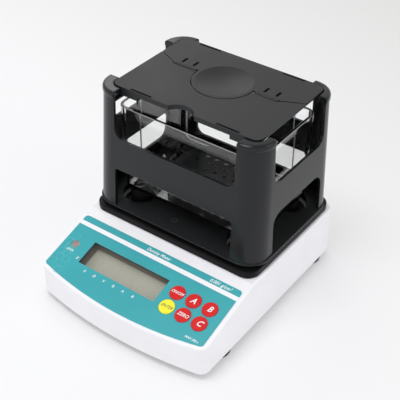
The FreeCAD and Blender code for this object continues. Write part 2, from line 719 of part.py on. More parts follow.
def make_key(label, column, row):
    """Round key: cap through the overlay, lip under the wall, stem over its switch."""
    body = new_body(label)
    half = new_sketch(body, label + "_half", "XZ_Plane")
    top = size.overlay_thick + size.key_proud
    lip = size.key_radius + size.key_lip
    lip_top = -(size.base_wall + size.key_slack)
    lip_low = lip_top - size.key_lip_thick
    stem_low = lip_low - stem_length
    outline(half, [(0, top), (size.key_radius, top), (size.key_radius, lip_top), (lip, lip_top),
                   (lip, lip_low), (size.key_stem, lip_low), (size.key_stem, stem_low),
                   (0, stem_low)])
    revolve(body, label + "_turned", half)
    dress(body, "Chamfer", label + "_edge", size.key_edge, at_height(top))
    place_on_panel(body, key_x + size.key_pitch_x * column,
                   size.key_down + size.key_pitch_y * row)


def make_keypad_board():
    """Board under the keys with its six switches soldered on."""
    body = new_body("keypad_board")
    last_x = size.key_pitch_x * 2
    plate = new_sketch(body, "KeypadPlate", lift=-board_top)
    rectangle(plate, -size.board_side, last_x + size.board_side,
              -(size.key_pitch_y + size.board_side), size.board_side)
    pad(body, "KeypadPlatePad", plate, size.board_thick, reverse=True)
    switches = new_sketch(body, "Switches", lift=-board_top)
    half = size.switch_size / 2
    for column in range(3):
        for row in range(2):
            x = size.key_pitch_x * column
            y = -size.key_pitch_y * row
            rectangle(switches, x - half, x + half, y - half, y + half)
    pad(body, "SwitchBlocks", switches, size.switch_height)
    place_on_panel(body, key_x, size.key_down)


# ---------------------------------------------------------------- weighing train
def make_load_cell():
    """Bending-beam load cell: mount block, bar with its two joined bores, head post."""
    block = new_body("load_cell_mount")
    foot = new_sketch(block, "MountFoot", lift=pan_top)
    half = size.cell_width / 2
    rectangle(foot, -half, half, size.cell_front, size.cell_front + size.mount_length)
    pad(block, "MountBlock", foot, size.cell_bottom - pan_top)

    bar = new_body("load_cell")
    side = new_sketch(bar, "CellSide", "YZ_Plane")
    back = size.cell_front + size.cell_length
    rectangle(side, size.cell_front, back, size.cell_bottom, cell_top)
    pad(bar, "CellBar", side, size.cell_width, both=True)
    bores = new_sketch(bar, "CellBores", "YZ_Plane")
    centre = size.cell_front + size.cell_length / 2
    level = size.cell_bottom + size.cell_height / 2
    circle(bores, centre - size.cell_web, level, size.cell_hole)
    circle(bores, centre + size.cell_web, level, size.cell_hole)
    pocket(bar, "CellBoreCut", bores, size.cell_width + 2, both=True)
    slot = new_sketch(bar, "CellSlot", "YZ_Plane")
    rectangle(slot, centre - size.cell_web, centre + size.cell_web,
              level - size.cell_slot, level + size.cell_slot)
    pocket(bar, "CellSlotCut", slot, size.cell_width + 2, both=True)

    head = new_body("load_cell_post")
    ring = new_sketch(head, "HeadPlan", lift=cell_top)
    circle(ring, 0, post_y, size.post_radius)
    pad(head, "HeadPost", ring, spider_bottom - cell_top)


def make_main_board():
    """Main circuit board on its standoffs."""
    body = new_body("main_board")
    plate = new_sketch(body, "MainBoardPlan", lift=size.main_board_z)
    half = size.main_board_x / 2
    rectangle(plate, -half, half, main_board_front, main_board_front + size.main_board_y)
    pad(body, "MainBoardPad", plate, size.board_thick)


def make_spider():
    """Cast cross on the load cell's head, tapped for the two floor screws."""
    body = new_body("spider")
    centre = post_y
    arm = new_sketch(body, "SpiderLong", lift=spider_bottom)
    half_w = size.spider_wide / 2
    half_l = size.spider_long / 2
    round_rectangle(arm, -half_w, half_w, centre - half_l, centre + half_l, size.spider_corner)
    pad(body, "SpiderLongArm", arm, size.spider_thick)
    cross = new_sketch(body, "SpiderCross", lift=spider_bottom)
    half_x = size.spider_arm_x / 2
    half_y = size.spider_arm_y / 2
    round_rectangle(cross, -half_x, half_x, centre - half_y, centre + half_y, size.spider_corner)
    pad(body, "SpiderCrossArm", cross, size.spider_thick)
    taps = new_sketch(body, "SpiderTaps", lift=spider_top)
    circle(taps, size.screw_x, size.screw_front, size.screw_radius + size.screw_fit)
    circle(taps, -size.screw_x, size.screw_rear, size.screw_radius + size.screw_fit)
    pocket(body, "SpiderTapHoles", taps, size.spider_thick + 1)


def make_tray():
    """Black tray over the spider: hollow underneath, with ways for the pillars."""
    body = new_body("platform_tray")
    plan = new_sketch(body, "TrayPlan", lift=size.tray_bottom)
    round_rectangle(plan, -size.tray_half_x, size.tray_half_x, size.tray_front, size.tray_rear,
                    size.tray_corner)
    pad(body, "TrayBlock", plan, size.tray_top - size.tray_bottom)
    dress(body, "Chamfer", "TrayEdge", size.tray_edge, at_height(size.tray_top))
    under = new_sketch(body, "TrayHollow", lift=size.tray_bottom)
    inner = size.tray_half_x - size.tray_wall
    round_rectangle(under, -inner, inner, size.tray_front + size.tray_wall,
                    size.tray_rear - size.tray_wall, size.tray_corner - size.tray_wall)
    pocket(body, "TrayHollowCut", under, spider_top - size.tray_bottom, reverse=True)
    ways = new_sketch(body, "TrayWays", lift=size.tray_top)
    for x in (-size.pillar_x, size.pillar_x):
        for y in (size.pillar_front, size.pillar_rear):
            circle(ways, x, y, size.pillar_way)
    circle(ways, size.screw_x, size.screw_front, size.screw_radius + size.screw_fit)
    circle(ways, -size.screw_x, size.screw_rear, size.screw_radius + size.screw_fit)
    pocket(body, "TrayHoles", ways, size.tray_skin + 1)


def make_screw(label, x, y):
    """Floor screw: flat head in the frame's recess, shank down into the spider."""
    body = new_body(label)
    half = new_sketch(body, label + "_half", "XZ_Plane")
    length = floor_top - size.screw_head_thick - spider_bottom
    outline(half, [(0, 0), (size.screw_head, 0), (size.screw_head, -size.screw_head_thick),
                   (size.screw_radius, -size.screw_head_thick),
                   (size.screw_radius, -(size.screw_head_thick + length)),
                   (0, -(size.screw_head_thick + length))])
    revolve(body, label + "_turned", half)
    place(body, x, y, floor_top)


# ---------------------------------------------------------------- frame over the tray
def make_frame():
    """Black frame in one moulding: floor with a lip, tapering walls left as four rounded
    posts and a belt, bead caps on the posts and ledges inside them for the table."""
    body = new_body("frame")
    left = size.frame_x - size.frame_half_x
    right = size.frame_x + size.frame_half_x
    post_left = size.frame_x - size.post_half_x
    post_right = size.frame_x + size.post_half_x
    leaning_block(body, "Walls", (left, right, size.frame_front, size.frame_rear),
                  (post_left, post_right, size.post_front, size.post_rear),
                  floor_top, cap_bottom, size.post_corner)
    hollow(body, "WallsHollow", size.frame_wall, [floor_top, cap_bottom])

    # bead caps stand slightly proud of the posts and follow the plate's outline inside
    cap = new_sketch(body, "CapOuter", lift=cap_bottom)
    proud = size.cap_proud
    round_rectangle(cap, post_left - proud, post_right + proud, size.post_front - proud,
                    size.post_rear + proud, size.post_corner + proud)
    inner_x = size.table_half_x + size.cap_gap
    round_rectangle(cap, -inner_x, inner_x, size.table_front - size.cap_gap,
                    size.table_rear + size.cap_gap, size.cap_inner_round)
    pad(body, "Caps", cap, cap_top - cap_bottom)

    # ledges inside the posts: lower in front for the lugs, higher behind for the rear skirt
    halfway = (size.post_front + size.post_rear) / 2
    inset = size.ledge_inset
    front = new_sketch(body, "FrontLedges", lift=ledge_top)
    round_rectangle(front, post_left + inset, post_right - inset, size.post_front + inset,
                    halfway, size.post_corner - inset)
    pad(body, "FrontLedgePlate", front, size.ledge_thick, reverse=True)
    back = new_sketch(body, "RearLedges", lift=skirt_bottom)
    round_rectangle(back, post_left + inset, post_right - inset, halfway,
                    size.post_rear - inset, size.post_corner - inset)
    pad(body, "RearLedgePlate", back, size.ledge_thick, reverse=True)

    # upper windows, open to the top, leave four posts above the belt
    above = cap_top + size.upper_round * 2
    gap_left = size.frame_x - size.window_half_x
    gap_right = size.frame_x + size.window_half_x
    face = new_sketch(body, "UpperFront", "XZ_Plane")
    round_rectangle(face, gap_left, gap_right, size.belt_top, above, size.upper_round)
    pocket(body, "UpperFrontCut", face, size.base_length * 2, both=True)
    flank = new_sketch(body, "UpperSide", "YZ_Plane")
    low_y = size.side_window_y - size.side_window_half
    high_y = size.side_window_y + size.side_window_half
    round_rectangle(flank, low_y, high_y, size.belt_top, above, size.upper_round)
    pocket(body, "UpperSideCut", flank, size.base_width * 2, both=True)

    # lower windows: front and right reach the floor, rear and left keep a sill
    under = frame_bottom - size.lower_round * 2
    reach = size.base_length
    front_low = new_sketch(body, "LowerFront", "XZ_Plane", lift=-halfway)
    round_rectangle(front_low, gap_left, gap_right, under, size.belt_bottom, size.front_round)
    pocket(body, "LowerFrontCut", front_low, reach, reverse=True)
    rear_low = new_sketch(body, "LowerRear", "XZ_Plane", lift=-halfway)
    round_rectangle(rear_low, gap_left, gap_right, size.sill_top, size.belt_bottom, size.sill_round)
    pocket(body, "LowerRearCut", rear_low, reach)
    right_low = new_sketch(body, "LowerRight", "YZ_Plane")
    round_rectangle(right_low, low_y, high_y, under, size.belt_bottom, size.lower_round)
    pocket(body, "LowerRightCut", right_low, reach, reverse=True)
    left_low = new_sketch(body, "LowerLeft", "YZ_Plane")
    round_rectangle(left_low, low_y, high_y, size.sill_top, size.belt_bottom, size.sill_round)
    pocket(body, "LowerLeftCut", left_low, reach)

    # the caps are rolled over on the outside and eased on the inside, not on their ends
    def cap_edge(edge, outside):
        if edge.BoundBox.ZMin < cap_top.value - 1e-4:
            return False
        spot = middle(edge)
        on_end = min(abs(spot.x - gap_left.value), abs(spot.x - gap_right.value)) < 1e-3
        on_end = on_end or min(abs(spot.y - low_y.value), abs(spot.y - high_y.value)) < 1e-3
        within = abs(spot.x) < inner_x.value + 1e-3
        within = within and spot.y > size.table_front.value - size.cap_gap.value - 1e-3
        within = within and spot.y < size.table_rear.value + size.cap_gap.value + 1e-3
        return not on_end and within != outside
    dress(body, "Fillet", "CapBead", size.cap_round, lambda edge: cap_edge(edge, True))
    dress(body, "Chamfer", "CapEase", size.cap_ease, lambda edge: cap_edge(edge, False))

    # floor with its outer lip, and the narrower foot under it
    floor = new_sketch(body, "Floor", lift=lip_bottom)
    lip = size.frame_lip
    round_rectangle(floor, left - lip, right + lip, size.frame_front - lip,
                    size.frame_rear + lip, size.post_corner + lip)
    pad(body, "FloorPlate", floor, size.frame_floor)
    foot = new_sketch(body, "FloorFoot", lift=frame_bottom)
    inset = size.frame_foot_inset
    round_rectangle(foot, left + inset, right - inset, size.frame_front + inset,
                    size.frame_rear - inset, size.post_corner - inset)
    pad(body, "FloorFootPlate", foot, size.frame_foot)
    ways = new_sketch(body, "FloorWays", lift=floor_top)
    for x in (-size.pillar_x, size.pillar_x):
        for y in (size.pillar_front, size.pillar_rear):
            circle(ways, x, y, size.pillar_way)
    circle(ways, size.screw_x, size.screw_front, size.screw_radius + size.screw_fit)
    circle(ways, -size.screw_x, size.screw_rear, size.screw_radius + size.screw_fit)
    pocket(body, "FloorHoles", ways, size.frame_floor + size.frame_foot + 1)
    sinks = new_sketch(body, "ScrewRecesses", lift=floor_top)
    circle(sinks, size.screw_x, size.screw_front, size.screw_head + size.screw_fit)
    circle(sinks, -size.screw_x, size.screw_rear, size.screw_head + size.screw_fit)
    pocket(body, "ScrewRecessCut", sinks, size.screw_head_thick)
    return body


# ---------------------------------------------------------------- tank and its pillars
def make_ring(label, outer, bore, thick, x, y, z):
    """Flat ring lying level."""
    ring = new_body(label)
    plan = new_sketch(ring, label + "_plan")
    circle(plan, 0, 0, outer)
    circle(plan, 0, 0, bore)
    pad(ring, label + "_ring", plan, thick)
    place(ring, x, y, z)


def make_pillar(corner, x, y):
    """Pillar from the pan up through the tray, with a sealing collar round it on the deck
    and a soft ring on top for the tank."""
    body = new_body("pillar_" + corner)
    plan = new_sketch(body, "pillar_plan_" + corner)
    circle(plan, 0, 0, size.pillar_radius)
    pad(body, "pillar_rod_" + corner, plan, size.pillar_top - pan_top)
    place(body, x, y, pan_top)
    make_ring("pillar_collar_" + corner, size.collar_radius,
              size.pillar_radius + size.collar_fit, size.collar_thick, x, y, size.deck_top)
    make_ring("pillar_ring_" + corner, size.pad_radius, size.pad_bore, size.pad_thick,
              x, y, size.pillar_top)


def make_tank():
    """Clear open tank, slightly wider at the rim, standing on the four rings. It is drawn
    upside down, as it leaves its mould, and turned over into its place."""
    body = new_body("tank")
    depth = tank_top - tank_bottom
    plan = new_sketch(body, "TankPlan")
    round_rectangle(plan, -size.tank_half_x, size.tank_half_x, -size.tank_half_y,
                    size.tank_half_y, size.tank_corner)
    pad(body, "TankBlock", plan, depth)
    doc.recompute()
    block = body.Tip
    sides = ["Face%d" % (i + 1) for i, face in enumerate(block.Shape.Faces)
             if face.BoundBox.ZLength > depth.value - 1e-3]
    draft = body.newObject("PartDesign::Draft", "TankDraft")
    draft.Base = (block, sides)
    draft.NeutralPlane = (origin_plane(body, "XY_Plane"), [""])
    bind(draft, "Angle", size.tank_angle)
    doc.recompute()
    hollow(body, "TankHollow", size.tank_wall, [as_size(0)])
    dress(body, "Chamfer", "TankRimEdge", size.tank_rim_edge, at_height(as_size(0)))
    place(body, 0, size.tank_y, tank_top)
    body.Placement.Rotation = Rotation(Vector(1, 0, 0), 180)


# ---------------------------------------------------------------- table, flap and hinges
def knuckle(body, name, start, end, web_from, web_to):
    """One bored hinge knuckle along X with the web that joins it to its plate."""
    bar = new_sketch(body, name, "YZ_Plane", lift=start)
    circle(bar, size.hinge_y, hinge_z, size.hinge_radius)
    pad(body, name + "Barrel", bar, end - start)
    web = new_sketch(body, name + "Web", "YZ_Plane", lift=start)
    rectangle(web, web_from, web_to, plate_bottom, hinge_z)
    pad(body, name + "WebPad", web, end - start)
    bore = new_sketch(body, name + "Bore", "YZ_Plane", lift=start)
    circle(bore, size.hinge_y, hinge_z, size.pin_radius + size.pin_fit)
    pocket(body, name + "BoreCut", bore, end - start, reverse=True)


def plate_slots(body, name, low_y, high_y):
    """Two long slots through the plate, left and right."""
    slots = new_sketch(body, name, lift=size.table_top)
    rectangle(slots, size.slot_start, size.slot_end, low_y, high_y)
    rectangle(slots, -size.slot_end, -size.slot_start, low_y, high_y)
    pocket(body, name + "Cut", slots, size.plate_thick + 0.5)


def make_flap():
    """Front flap of the table: plate with two ears behind the hinge line, front skirt with
    a thumb notch, and a cut-out round the weighing dish."""
    body = new_body("front_flap")
    plate = new_sketch(body, "FlapPlan", lift=plate_bottom)
    side = size.table_half_x
    near = size.hinge_y - size.hinge_setback
    half_gap = size.seam_gap / 2
    ear = size.ear_x
    notch_left = size.notch_x - size.notch_half
    notch_right = size.notch_x + size.notch_half
    outline(plate, [(-side, size.table_front), (notch_left, size.table_front),
                    (notch_right, size.table_front), (side, size.table_front),
                    (side, ear_end - half_gap), (ear, size.hinge_y - half_gap), (ear, near),
                    (-ear, near), (-ear, size.hinge_y - half_gap), (-side, ear_end - half_gap)],
            {1: -size.notch_depth})
    pad(body, "FlapPlate", plate, size.plate_thick)
    skirt = new_sketch(body, "FlapSkirt", lift=skirt_bottom)
    skirt_x = side - size.table_corner
    inner = size.table_front + size.skirt_thick
    thick = size.skirt_thick
    outline(skirt, [(-skirt_x, size.table_front), (notch_left, size.table_front),
                    (notch_right, size.table_front), (skirt_x, size.table_front),
                    (skirt_x, inner), (notch_right + thick, inner),
                    (notch_left - thick, inner), (-skirt_x, inner)],
            {1: -size.notch_depth, 5: size.notch_depth})
    pad(body, "FlapSkirtPad", skirt, plate_bottom - skirt_bottom)

    def front_corner(edge):
        spot = middle(edge)
        return (upright(edge) and abs(abs(spot.x) - side.value) < 1e-3
                and spot.y < size.table_front.value + 1e-3)
    dress(body, "Fillet", "FlapCorners", size.table_corner, front_corner)
    rim = new_sketch(body, "FlapDish", lift=size.table_top)
    circle(rim, 0, size.dish_y, size.dish_radius + size.seam_gap)
    pocket(body, "FlapDishCut", rim, size.plate_thick + 1)
    slot_y = size.table_front + size.skirt_thick
    plate_slots(body, "FlapSlots", slot_y, slot_y + size.slot_width)

    # middle knuckle of each hinge
    left = size.hinge_start + size.knuckle_width + size.knuckle_gap
    right = size.hinge_end - size.knuckle_width - size.knuckle_gap
    back = size.hinge_y - size.hinge_radius * 0.5
    knuckle(body, "FlapKnuckleRight", left, right, near - size.web_root, back)
    knuckle(body, "FlapKnuckleLeft", -right, -left, near - size.web_root, back)
    return body


def make_table():
    """Rear half of the lift-off table: plate with the weighing dish, rear skirt, hinge
    knuckles, two rails underneath and the lugs that rest on the front ledges."""
    body = new_body("top_table")
    plate = new_sketch(body, "TablePlan", lift=plate_bottom)
    side = size.table_half_x
    far = size.hinge_y + size.hinge_setback
    half_gap = size.seam_gap / 2
    ear = size.ear_x
    ear_front = size.hinge_y + size.hinge_drop + size.ear_gap
    outline(plate, [(-side, ear_end + half_gap), (-ear, ear_front), (-ear, far),
                    (ear, far), (ear, ear_front), (side, ear_end + half_gap),
                    (side, size.table_rear), (-side, size.table_rear)])
    pad(body, "TablePlate", plate, size.plate_thick)
    doc.recompute()

    def rear_corner(edge):
        spot = middle(edge)
        return upright(edge) and spot.y > size.table_rear.value - 1e-3
    dress(body, "Fillet", "TableCorners", size.table_corner, rear_corner)
    skirt = new_sketch(body, "TableSkirt", lift=skirt_bottom)
    skirt_x = side - size.table_corner
    rectangle(skirt, -skirt_x, skirt_x, size.table_rear - size.skirt_thick, size.table_rear)
    pad(body, "TableSkirtPad", skirt, plate_bottom - skirt_bottom)

    # the shallow dish takes the place of a round piece of the plate
    seat = new_sketch(body, "DishSeat", lift=size.table_top)
    hole = size.dish_radius - size.dish_land / 2
    circle(seat, 0, size.dish_y, hole)
    pocket(body, "DishSeatCut", seat, size.plate_thick + 1)
    return body


def finish_table(body):
    """Dish, knuckles, rails, lugs and peg of the table."""
    half = new_sketch(body, "DishHalf", "XZ_Plane", lift=-size.dish_y)
    land = size.dish_radius - size.dish_land
    outline(half, [(0, size.table_top - size.dish_depth), (0, plate_bottom - size.dish_depth),
                   (land, plate_bottom), (size.dish_radius, plate_bottom),
                   (size.dish_radius, size.table_top), (land, size.table_top)],
            {5: ON_AXIS})
    revolve(body, "Dish", half)

    left = size.hinge_start
    inner = left + size.knuckle_width
    right = size.hinge_end
    outer = right - size.knuckle_width
    far = size.hinge_y + size.hinge_setback
    front = size.hinge_y + size.hinge_radius * 0.5
    knuckle(body, "KnuckleRightIn", left, inner, front, far + size.web_root)
    knuckle(body, "KnuckleRightOut", outer, right, front, far + size.web_root)
    knuckle(body, "KnuckleLeftIn", -inner, -left, front, far + size.web_root)
    knuckle(body, "KnuckleLeftOut", -right, -outer, front, far + size.web_root)

    rails = new_sketch(body, "Rails", lift=ledge_top)
    rectangle(rails, rail_inner, rail_outer, size.rail_front, size.rail_rear)
    rectangle(rails, -rail_outer, -rail_inner, size.rail_front, size.rail_rear)
    risers = new_sketch(body, "Risers", lift=ledge_top)
    rectangle(risers, rail_inner, rail_outer, size.riser_front, size.rail_rear)
    rectangle(risers, -rail_outer, -rail_inner, size.riser_front, size.rail_rear)
    pad(body, "RiserPads", risers, plate_bottom - ledge_top)
    pad(body, "RailPads", rails, size.rail_thick)
    lugs = new_sketch(body, "Lugs", lift=ledge_top)
    rectangle(lugs, size.lug_inner, lug_outer, size.lug_front, size.lug_rear)
    rectangle(lugs, -lug_outer, -size.lug_inner, size.lug_front, size.lug_rear)
    pad(body, "LugPads", lugs, skirt_bottom - ledge_top)
    peg = new_sketch(body, "Peg", lift=ledge_top - size.peg_length)
    circle(peg, -size.peg_x, size.peg_y, size.peg_radius)
    pad(body, "PegPad", peg, size.peg_length + size.web_root)

    wires = new_sketch(body, "WireHoles", lift=rail_top)
    for x in (-wire_x, wire_x):
        for y in (size.wire_front, size.wire_rear):
            circle(wires, x, y, size.wire_radius + size.wire_fit)
    pocket(body, "WireHolesCut", wires, size.rail_thick + 1)
    slot_y = size.table_rear - size.skirt_thick
    plate_slots(body, "TableSlots", slot_y - size.slot_width, slot_y)
    hooks = new_sketch(body, "HookSlots", lift=size.table_top)
    half_w = size.hook_width / 2
    for sign in (-1, 1):
        for step in (0, 1):
            x = (size.hook_x + size.hook_pitch * step) * sign
            rectangle(hooks, x - half_w, x + half_w, size.hook_y, size.hook_y + size.hook_length)
    pocket(body, "HookSlotsCut", hooks, size.plate_thick + 0.5)


def make_pin(label, start, end):
    """Hinge pin along X through the three knuckles."""
    body = new_body(label)
    ring = new_sketch(body, label + "_plan", "YZ_Plane", lift=start)
    circle(ring, size.hinge_y, hinge_z, size.pin_radius)
    pad(body, label + "_rod", ring, end - start)


# ---------------------------------------------------------------- basket under water
def make_wire(label, y):
    """U-shaped wire: its heads lie on the rails, its middle carries the basket dish."""
    body = new_body(label)
    path = new_sketch(body, label + "_path", "XZ_Plane")
    side = wire_x
    low = size.wire_bottom
    bend = size.wire_bend
    x, z, r, top = side.value, low.value, bend.value, rail_top.value
    ids = [path.addGeometry(Part.LineSegment(Vector(-x, top, 0), Vector(-x, z + r, 0)), False)]
    arc = Part.ArcOfCircle(Part.Circle(Vector(r - x, z + r, 0), Vector(0, 0, 1), r),
                           math.pi, math.pi * 1.5)
    ids.append(path.addGeometry(arc, False))
    ids.append(path.addGeometry(Part.LineSegment(Vector(r - x, z, 0), Vector(x - r, z, 0)), False))
    arc = Part.ArcOfCircle(Part.Circle(Vector(x - r, z + r, 0), Vector(0, 0, 1), r),
                           math.pi * 1.5, math.pi * 2)
    ids.append(path.addGeometry(arc, False))
    ids.append(path.addGeometry(Part.LineSegment(Vector(x, z + r, 0), Vector(x, top, 0)), False))
    for i in range(4):
        path.addConstraint(Sketcher.Constraint("Tangent", ids[i], 2, ids[i + 1], 1))
    path.addConstraint(Sketcher.Constraint("Vertical", ids[0]))
    path.addConstraint(Sketcher.Constraint("Horizontal", ids[2]))
    path.addConstraint(Sketcher.Constraint("Vertical", ids[4]))
    fix_point(path, ids[0], 1, -side, rail_top)
    fix_point(path, ids[4], 2, side, rail_top)
    fix_radius(path, ids[1], bend)
    fix_radius(path, ids[3], bend)
    index = path.addConstraint(Sketcher.Constraint("DistanceY", -1, 1, ids[2], 1, z))
    path.setExpression("Constraints[%d]" % index, low.text)
    profile = new_sketch(body, label + "_section", lift=rail_top)
    circle(profile, -side, 0, size.wire_radius)
    pipe = body.newObject("PartDesign::AdditivePipe", label + "_wire")
    pipe.Profile = profile
    pipe.Spine = (path, ["Edge%d" % (i + 1) for i in range(5)])
    heads = new_sketch(body, label + "_heads", lift=rail_top)
    circle(heads, -side, 0, size.wire_head)
    circle(heads, side, 0, size.wire_head)
    pad(body, label + "_headpads", heads, size.wire_head_thick)
    place(body, 0, y, 0)


def make_basket():
    """Shallow round dish lying on the two wires."""
    body = new_body("basket_dish")
    half = new_sketch(body, "BasketHalf", "XZ_Plane")
    skin = size.basket_skin
    outline(half, [(0, 0), (size.basket_flat, 0), (size.basket_radius, size.basket_height),
                   (size.basket_radius - skin, size.basket_height),
                   (size.basket_flat - skin / 2, skin), (0, skin)])
    revolve(body, "BasketTurned", half)
    place(body, 0, size.basket_y, size.wire_bottom + size.wire_radius)


# ---------------------------------------------------------------- sockets in the rear wall
def make_sockets():
    """Round power inlet with its pin, and a nine-pin serial port with its metal shell."""
    inlet = new_body("dc_inlet")
    half = new_sketch(inlet, "InletHalf", "XZ_Plane")
    deep = size.inlet_depth
    wide = size.inlet_radius + size.socket_lip
    wall = size.base_wall
    outline(half, [(0, -deep), (size.inlet_radius, -deep), (wide, -deep), (wide, -wall),
                   (size.inlet_radius, -wall), (size.inlet_radius, 0), (size.inlet_bore, 0),
                   (size.inlet_bore, size.socket_floor - deep), (size.inlet_pin, size.socket_floor - deep),
                   (size.inlet_pin, -size.socket_lip), (0, -size.socket_lip)])
    revolve(inlet, "InletTurned", half)
    x, y, z = size.inlet_x, rear_y, size.socket_z
    inlet.Placement = Placement(Vector(x.value, y.value, z.value), Rotation(Vector(1, 0, 0), -90))
    inlet.setExpression("Placement.Base.x", x.text)
    inlet.setExpression("Placement.Base.y", y.text)
    inlet.setExpression("Placement.Base.z", z.text)

    port = new_body("serial_port")
    front = rear_y - size.base_wall
    block = new_sketch(port, "PortBlock", "XZ_Plane", lift=-front)
    half_w = size.port_width / 2
    half_h = size.port_height / 2
    rectangle(block, size.port_x - half_w, size.port_x + half_w,
              size.socket_z - half_h, size.socket_z + half_h)
    pad(port, "PortBlockPad", block, size.port_depth)
    shell = new_sketch(port, "PortShell", "XZ_Plane", lift=-front)
    half_w = size.port_shell_x / 2
    half_h = size.port_shell_z / 2
    lean = half_h * 0.25
    outline(shell, [(size.port_x - half_w + lean, size.socket_z - half_h),
                    (size.port_x + half_w - lean, size.socket_z - half_h),
                    (size.port_x + half_w, size.socket_z + half_h),
                    (size.port_x - half_w, size.socket_z + half_h)])
    pad(port, "PortShellPad", shell, size.base_wall - size.port_sunk, reverse=True)


# ---------------------------------------------------------------- assembly
make_housing()
make_pan()
FEET = (("foot_front_left", -1, foot_front), ("foot_front_right", 1, foot_front),
        ("foot_rear_left", -1, foot_rear), ("foot_rear_right", 1, foot_rear))
for label, sign, y in FEET:
    make_foot(label, foot_side * sign, y)
make_overlay()
make_display()
make_level()
KEYS = (("key_on_off", 0, 0), ("key_a", 1, 0), ("key_b", 2, 0),
        ("key_enter", 0, 1), ("key_zero", 1, 1), ("key_c", 2, 1))
for label, column, row in KEYS:
    make_key(label, column, row)
make_keypad_board()
make_load_cell()
make_main_board()
make_spider()
make_tray()
make_screw("floor_screw_front", size.screw_x, size.screw_front)
make_screw("floor_screw_rear", -size.screw_x, size.screw_rear)
make_frame()
PILLARS = (("front_left", -1, size.pillar_front), ("front_right", 1, size.pillar_front),
           ("rear_left", -1, size.pillar_rear), ("rear_right", 1, size.pillar_rear))
for corner, sign, y in PILLARS:
    make_pillar(corner, size.pillar_x * sign, y)
make_tank()
finish_table(make_table())
make_flap()
make_pin("hinge_pin_left", -size.hinge_end, -size.hinge_start)
make_pin("hinge_pin_right", size.hinge_start, size.hinge_end)
make_wire("basket_wire_front", size.wire_front)
make_wire("basket_wire_rear", size.wire_rear)
make_basket()
make_sockets()

# ---------------------------------------------------------------- checks and files
doc.recompute()
faults = []
for thing in doc.Objects:
    if "Invalid" in thing.State or "Error" in thing.State:
        faults.append("%s: %s" % (thing.Label, thing.State))
for node in NODES:
    shape = node.Shape
    if shape.isNull() or not shape.isValid():
        faults.append("%s has no valid shape" % node.Label)
    elif len(shape.Solids) != 1:
        faults.append("%s has %d solids" % (node.Label, len(shape.Solids)))
if faults:
    raise RuntimeError("; ".join(faults))

os.makedirs("parts", exist_ok=True)
for node in NODES:
    node.Shape.exportStep(os.path.join("parts", node.Label + ".step"))
print("wrote %d sub-parts" % len(NODES))
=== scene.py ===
import bpy
import bmesh
import math
from mathutils import Matrix, Vector


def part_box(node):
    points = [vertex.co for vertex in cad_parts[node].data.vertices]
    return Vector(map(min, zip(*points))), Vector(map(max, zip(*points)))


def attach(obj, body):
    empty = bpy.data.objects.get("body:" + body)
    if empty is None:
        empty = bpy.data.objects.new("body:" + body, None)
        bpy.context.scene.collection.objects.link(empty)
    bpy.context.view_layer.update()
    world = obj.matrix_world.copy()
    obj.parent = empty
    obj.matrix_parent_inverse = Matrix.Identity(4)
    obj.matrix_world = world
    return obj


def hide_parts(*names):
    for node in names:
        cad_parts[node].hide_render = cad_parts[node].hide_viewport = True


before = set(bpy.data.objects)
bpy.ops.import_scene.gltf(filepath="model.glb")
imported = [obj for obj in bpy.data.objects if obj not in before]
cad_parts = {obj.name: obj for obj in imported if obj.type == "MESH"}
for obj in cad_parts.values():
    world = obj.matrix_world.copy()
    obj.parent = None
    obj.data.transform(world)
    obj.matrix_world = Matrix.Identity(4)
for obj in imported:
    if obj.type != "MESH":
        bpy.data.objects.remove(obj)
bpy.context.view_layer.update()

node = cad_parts
MM = 0.001


# ---------------------------------------------------------------- white cover
# The white upper half of the balance, injection moulded in ABS with a fine
# spark-eroded skin. It clips over the pan and is screwed up from below.

def start_finish(name, colour, roughness, metallic=0.0, shine=0.5):
    """A material with its shader's plain values set, and its node tree."""
    made = bpy.data.materials.new(name)
    made.use_nodes = True
    tree = made.node_tree
    shader = tree.nodes["Principled BSDF"]
    shader.inputs["Base Color"].default_value = (*colour, 1)
    shader.inputs["Roughness"].default_value = roughness
    shader.inputs["Metallic"].default_value = metallic
    shader.inputs["Specular IOR Level"].default_value = shine
    return made, tree, shader


def place_in(tree, stretch=(1, 1, 1)):
    """Object coordinates, stretched for one pattern."""
    where = tree.nodes.new("ShaderNodeTexCoord")
    mapping = tree.nodes.new("ShaderNodeMapping")
    mapping.inputs["Scale"].default_value = stretch
    tree.links.new(where.outputs["Object"], mapping.inputs["Vector"])
    return mapping.outputs["Vector"]


def cloud(tree, vector, size, detail=2.0, roughness=0.5):
    """Soft noise whose lumps are about one size across, in metres."""
    noise = tree.nodes.new("ShaderNodeTexNoise")
    noise.inputs["Scale"].default_value = 1 / size
    noise.inputs["Detail"].default_value = detail
    noise.inputs["Roughness"].default_value = roughness
    tree.links.new(vector, noise.inputs["Vector"])
    return noise.outputs[0]


def span(tree, value, low, high, start, end):
    """The value, carried from the range low..high to start..end."""
    ramp = tree.nodes.new("ShaderNodeMapRange")
    for name, number in (("From Min", low), ("From Max", high),
                         ("To Min", start), ("To Max", end)):
        ramp.inputs[name].default_value = number
    tree.links.new(value, ramp.inputs["Value"])
    return ramp.outputs["Result"]


def vary(tree, noise, start, end):
    """A value that wanders from start to end with a noise, which mostly lies in 0.3..0.7."""
    return span(tree, noise, 0.3, 0.7, start, end)


def patches(tree, noise, low=0.35, high=0.65):
    """A noise hardened into patches of 0 and 1."""
    return span(tree, noise, low, high, 0.0, 1.0)


def blend_colours(tree, share, first, second):
    """First colour where the share is 0, second where it is 1."""
    mix = tree.nodes.new("ShaderNodeMix")
    mix.data_type = "RGBA"
    tree.links.new(share, mix.inputs[0])
    for socket, colour in ((mix.inputs[6], first), (mix.inputs[7], second)):
        if isinstance(colour, bpy.types.NodeSocket):
            tree.links.new(colour, socket)
        else:
            socket.default_value = (*colour, 1)
    return mix.outputs[2]


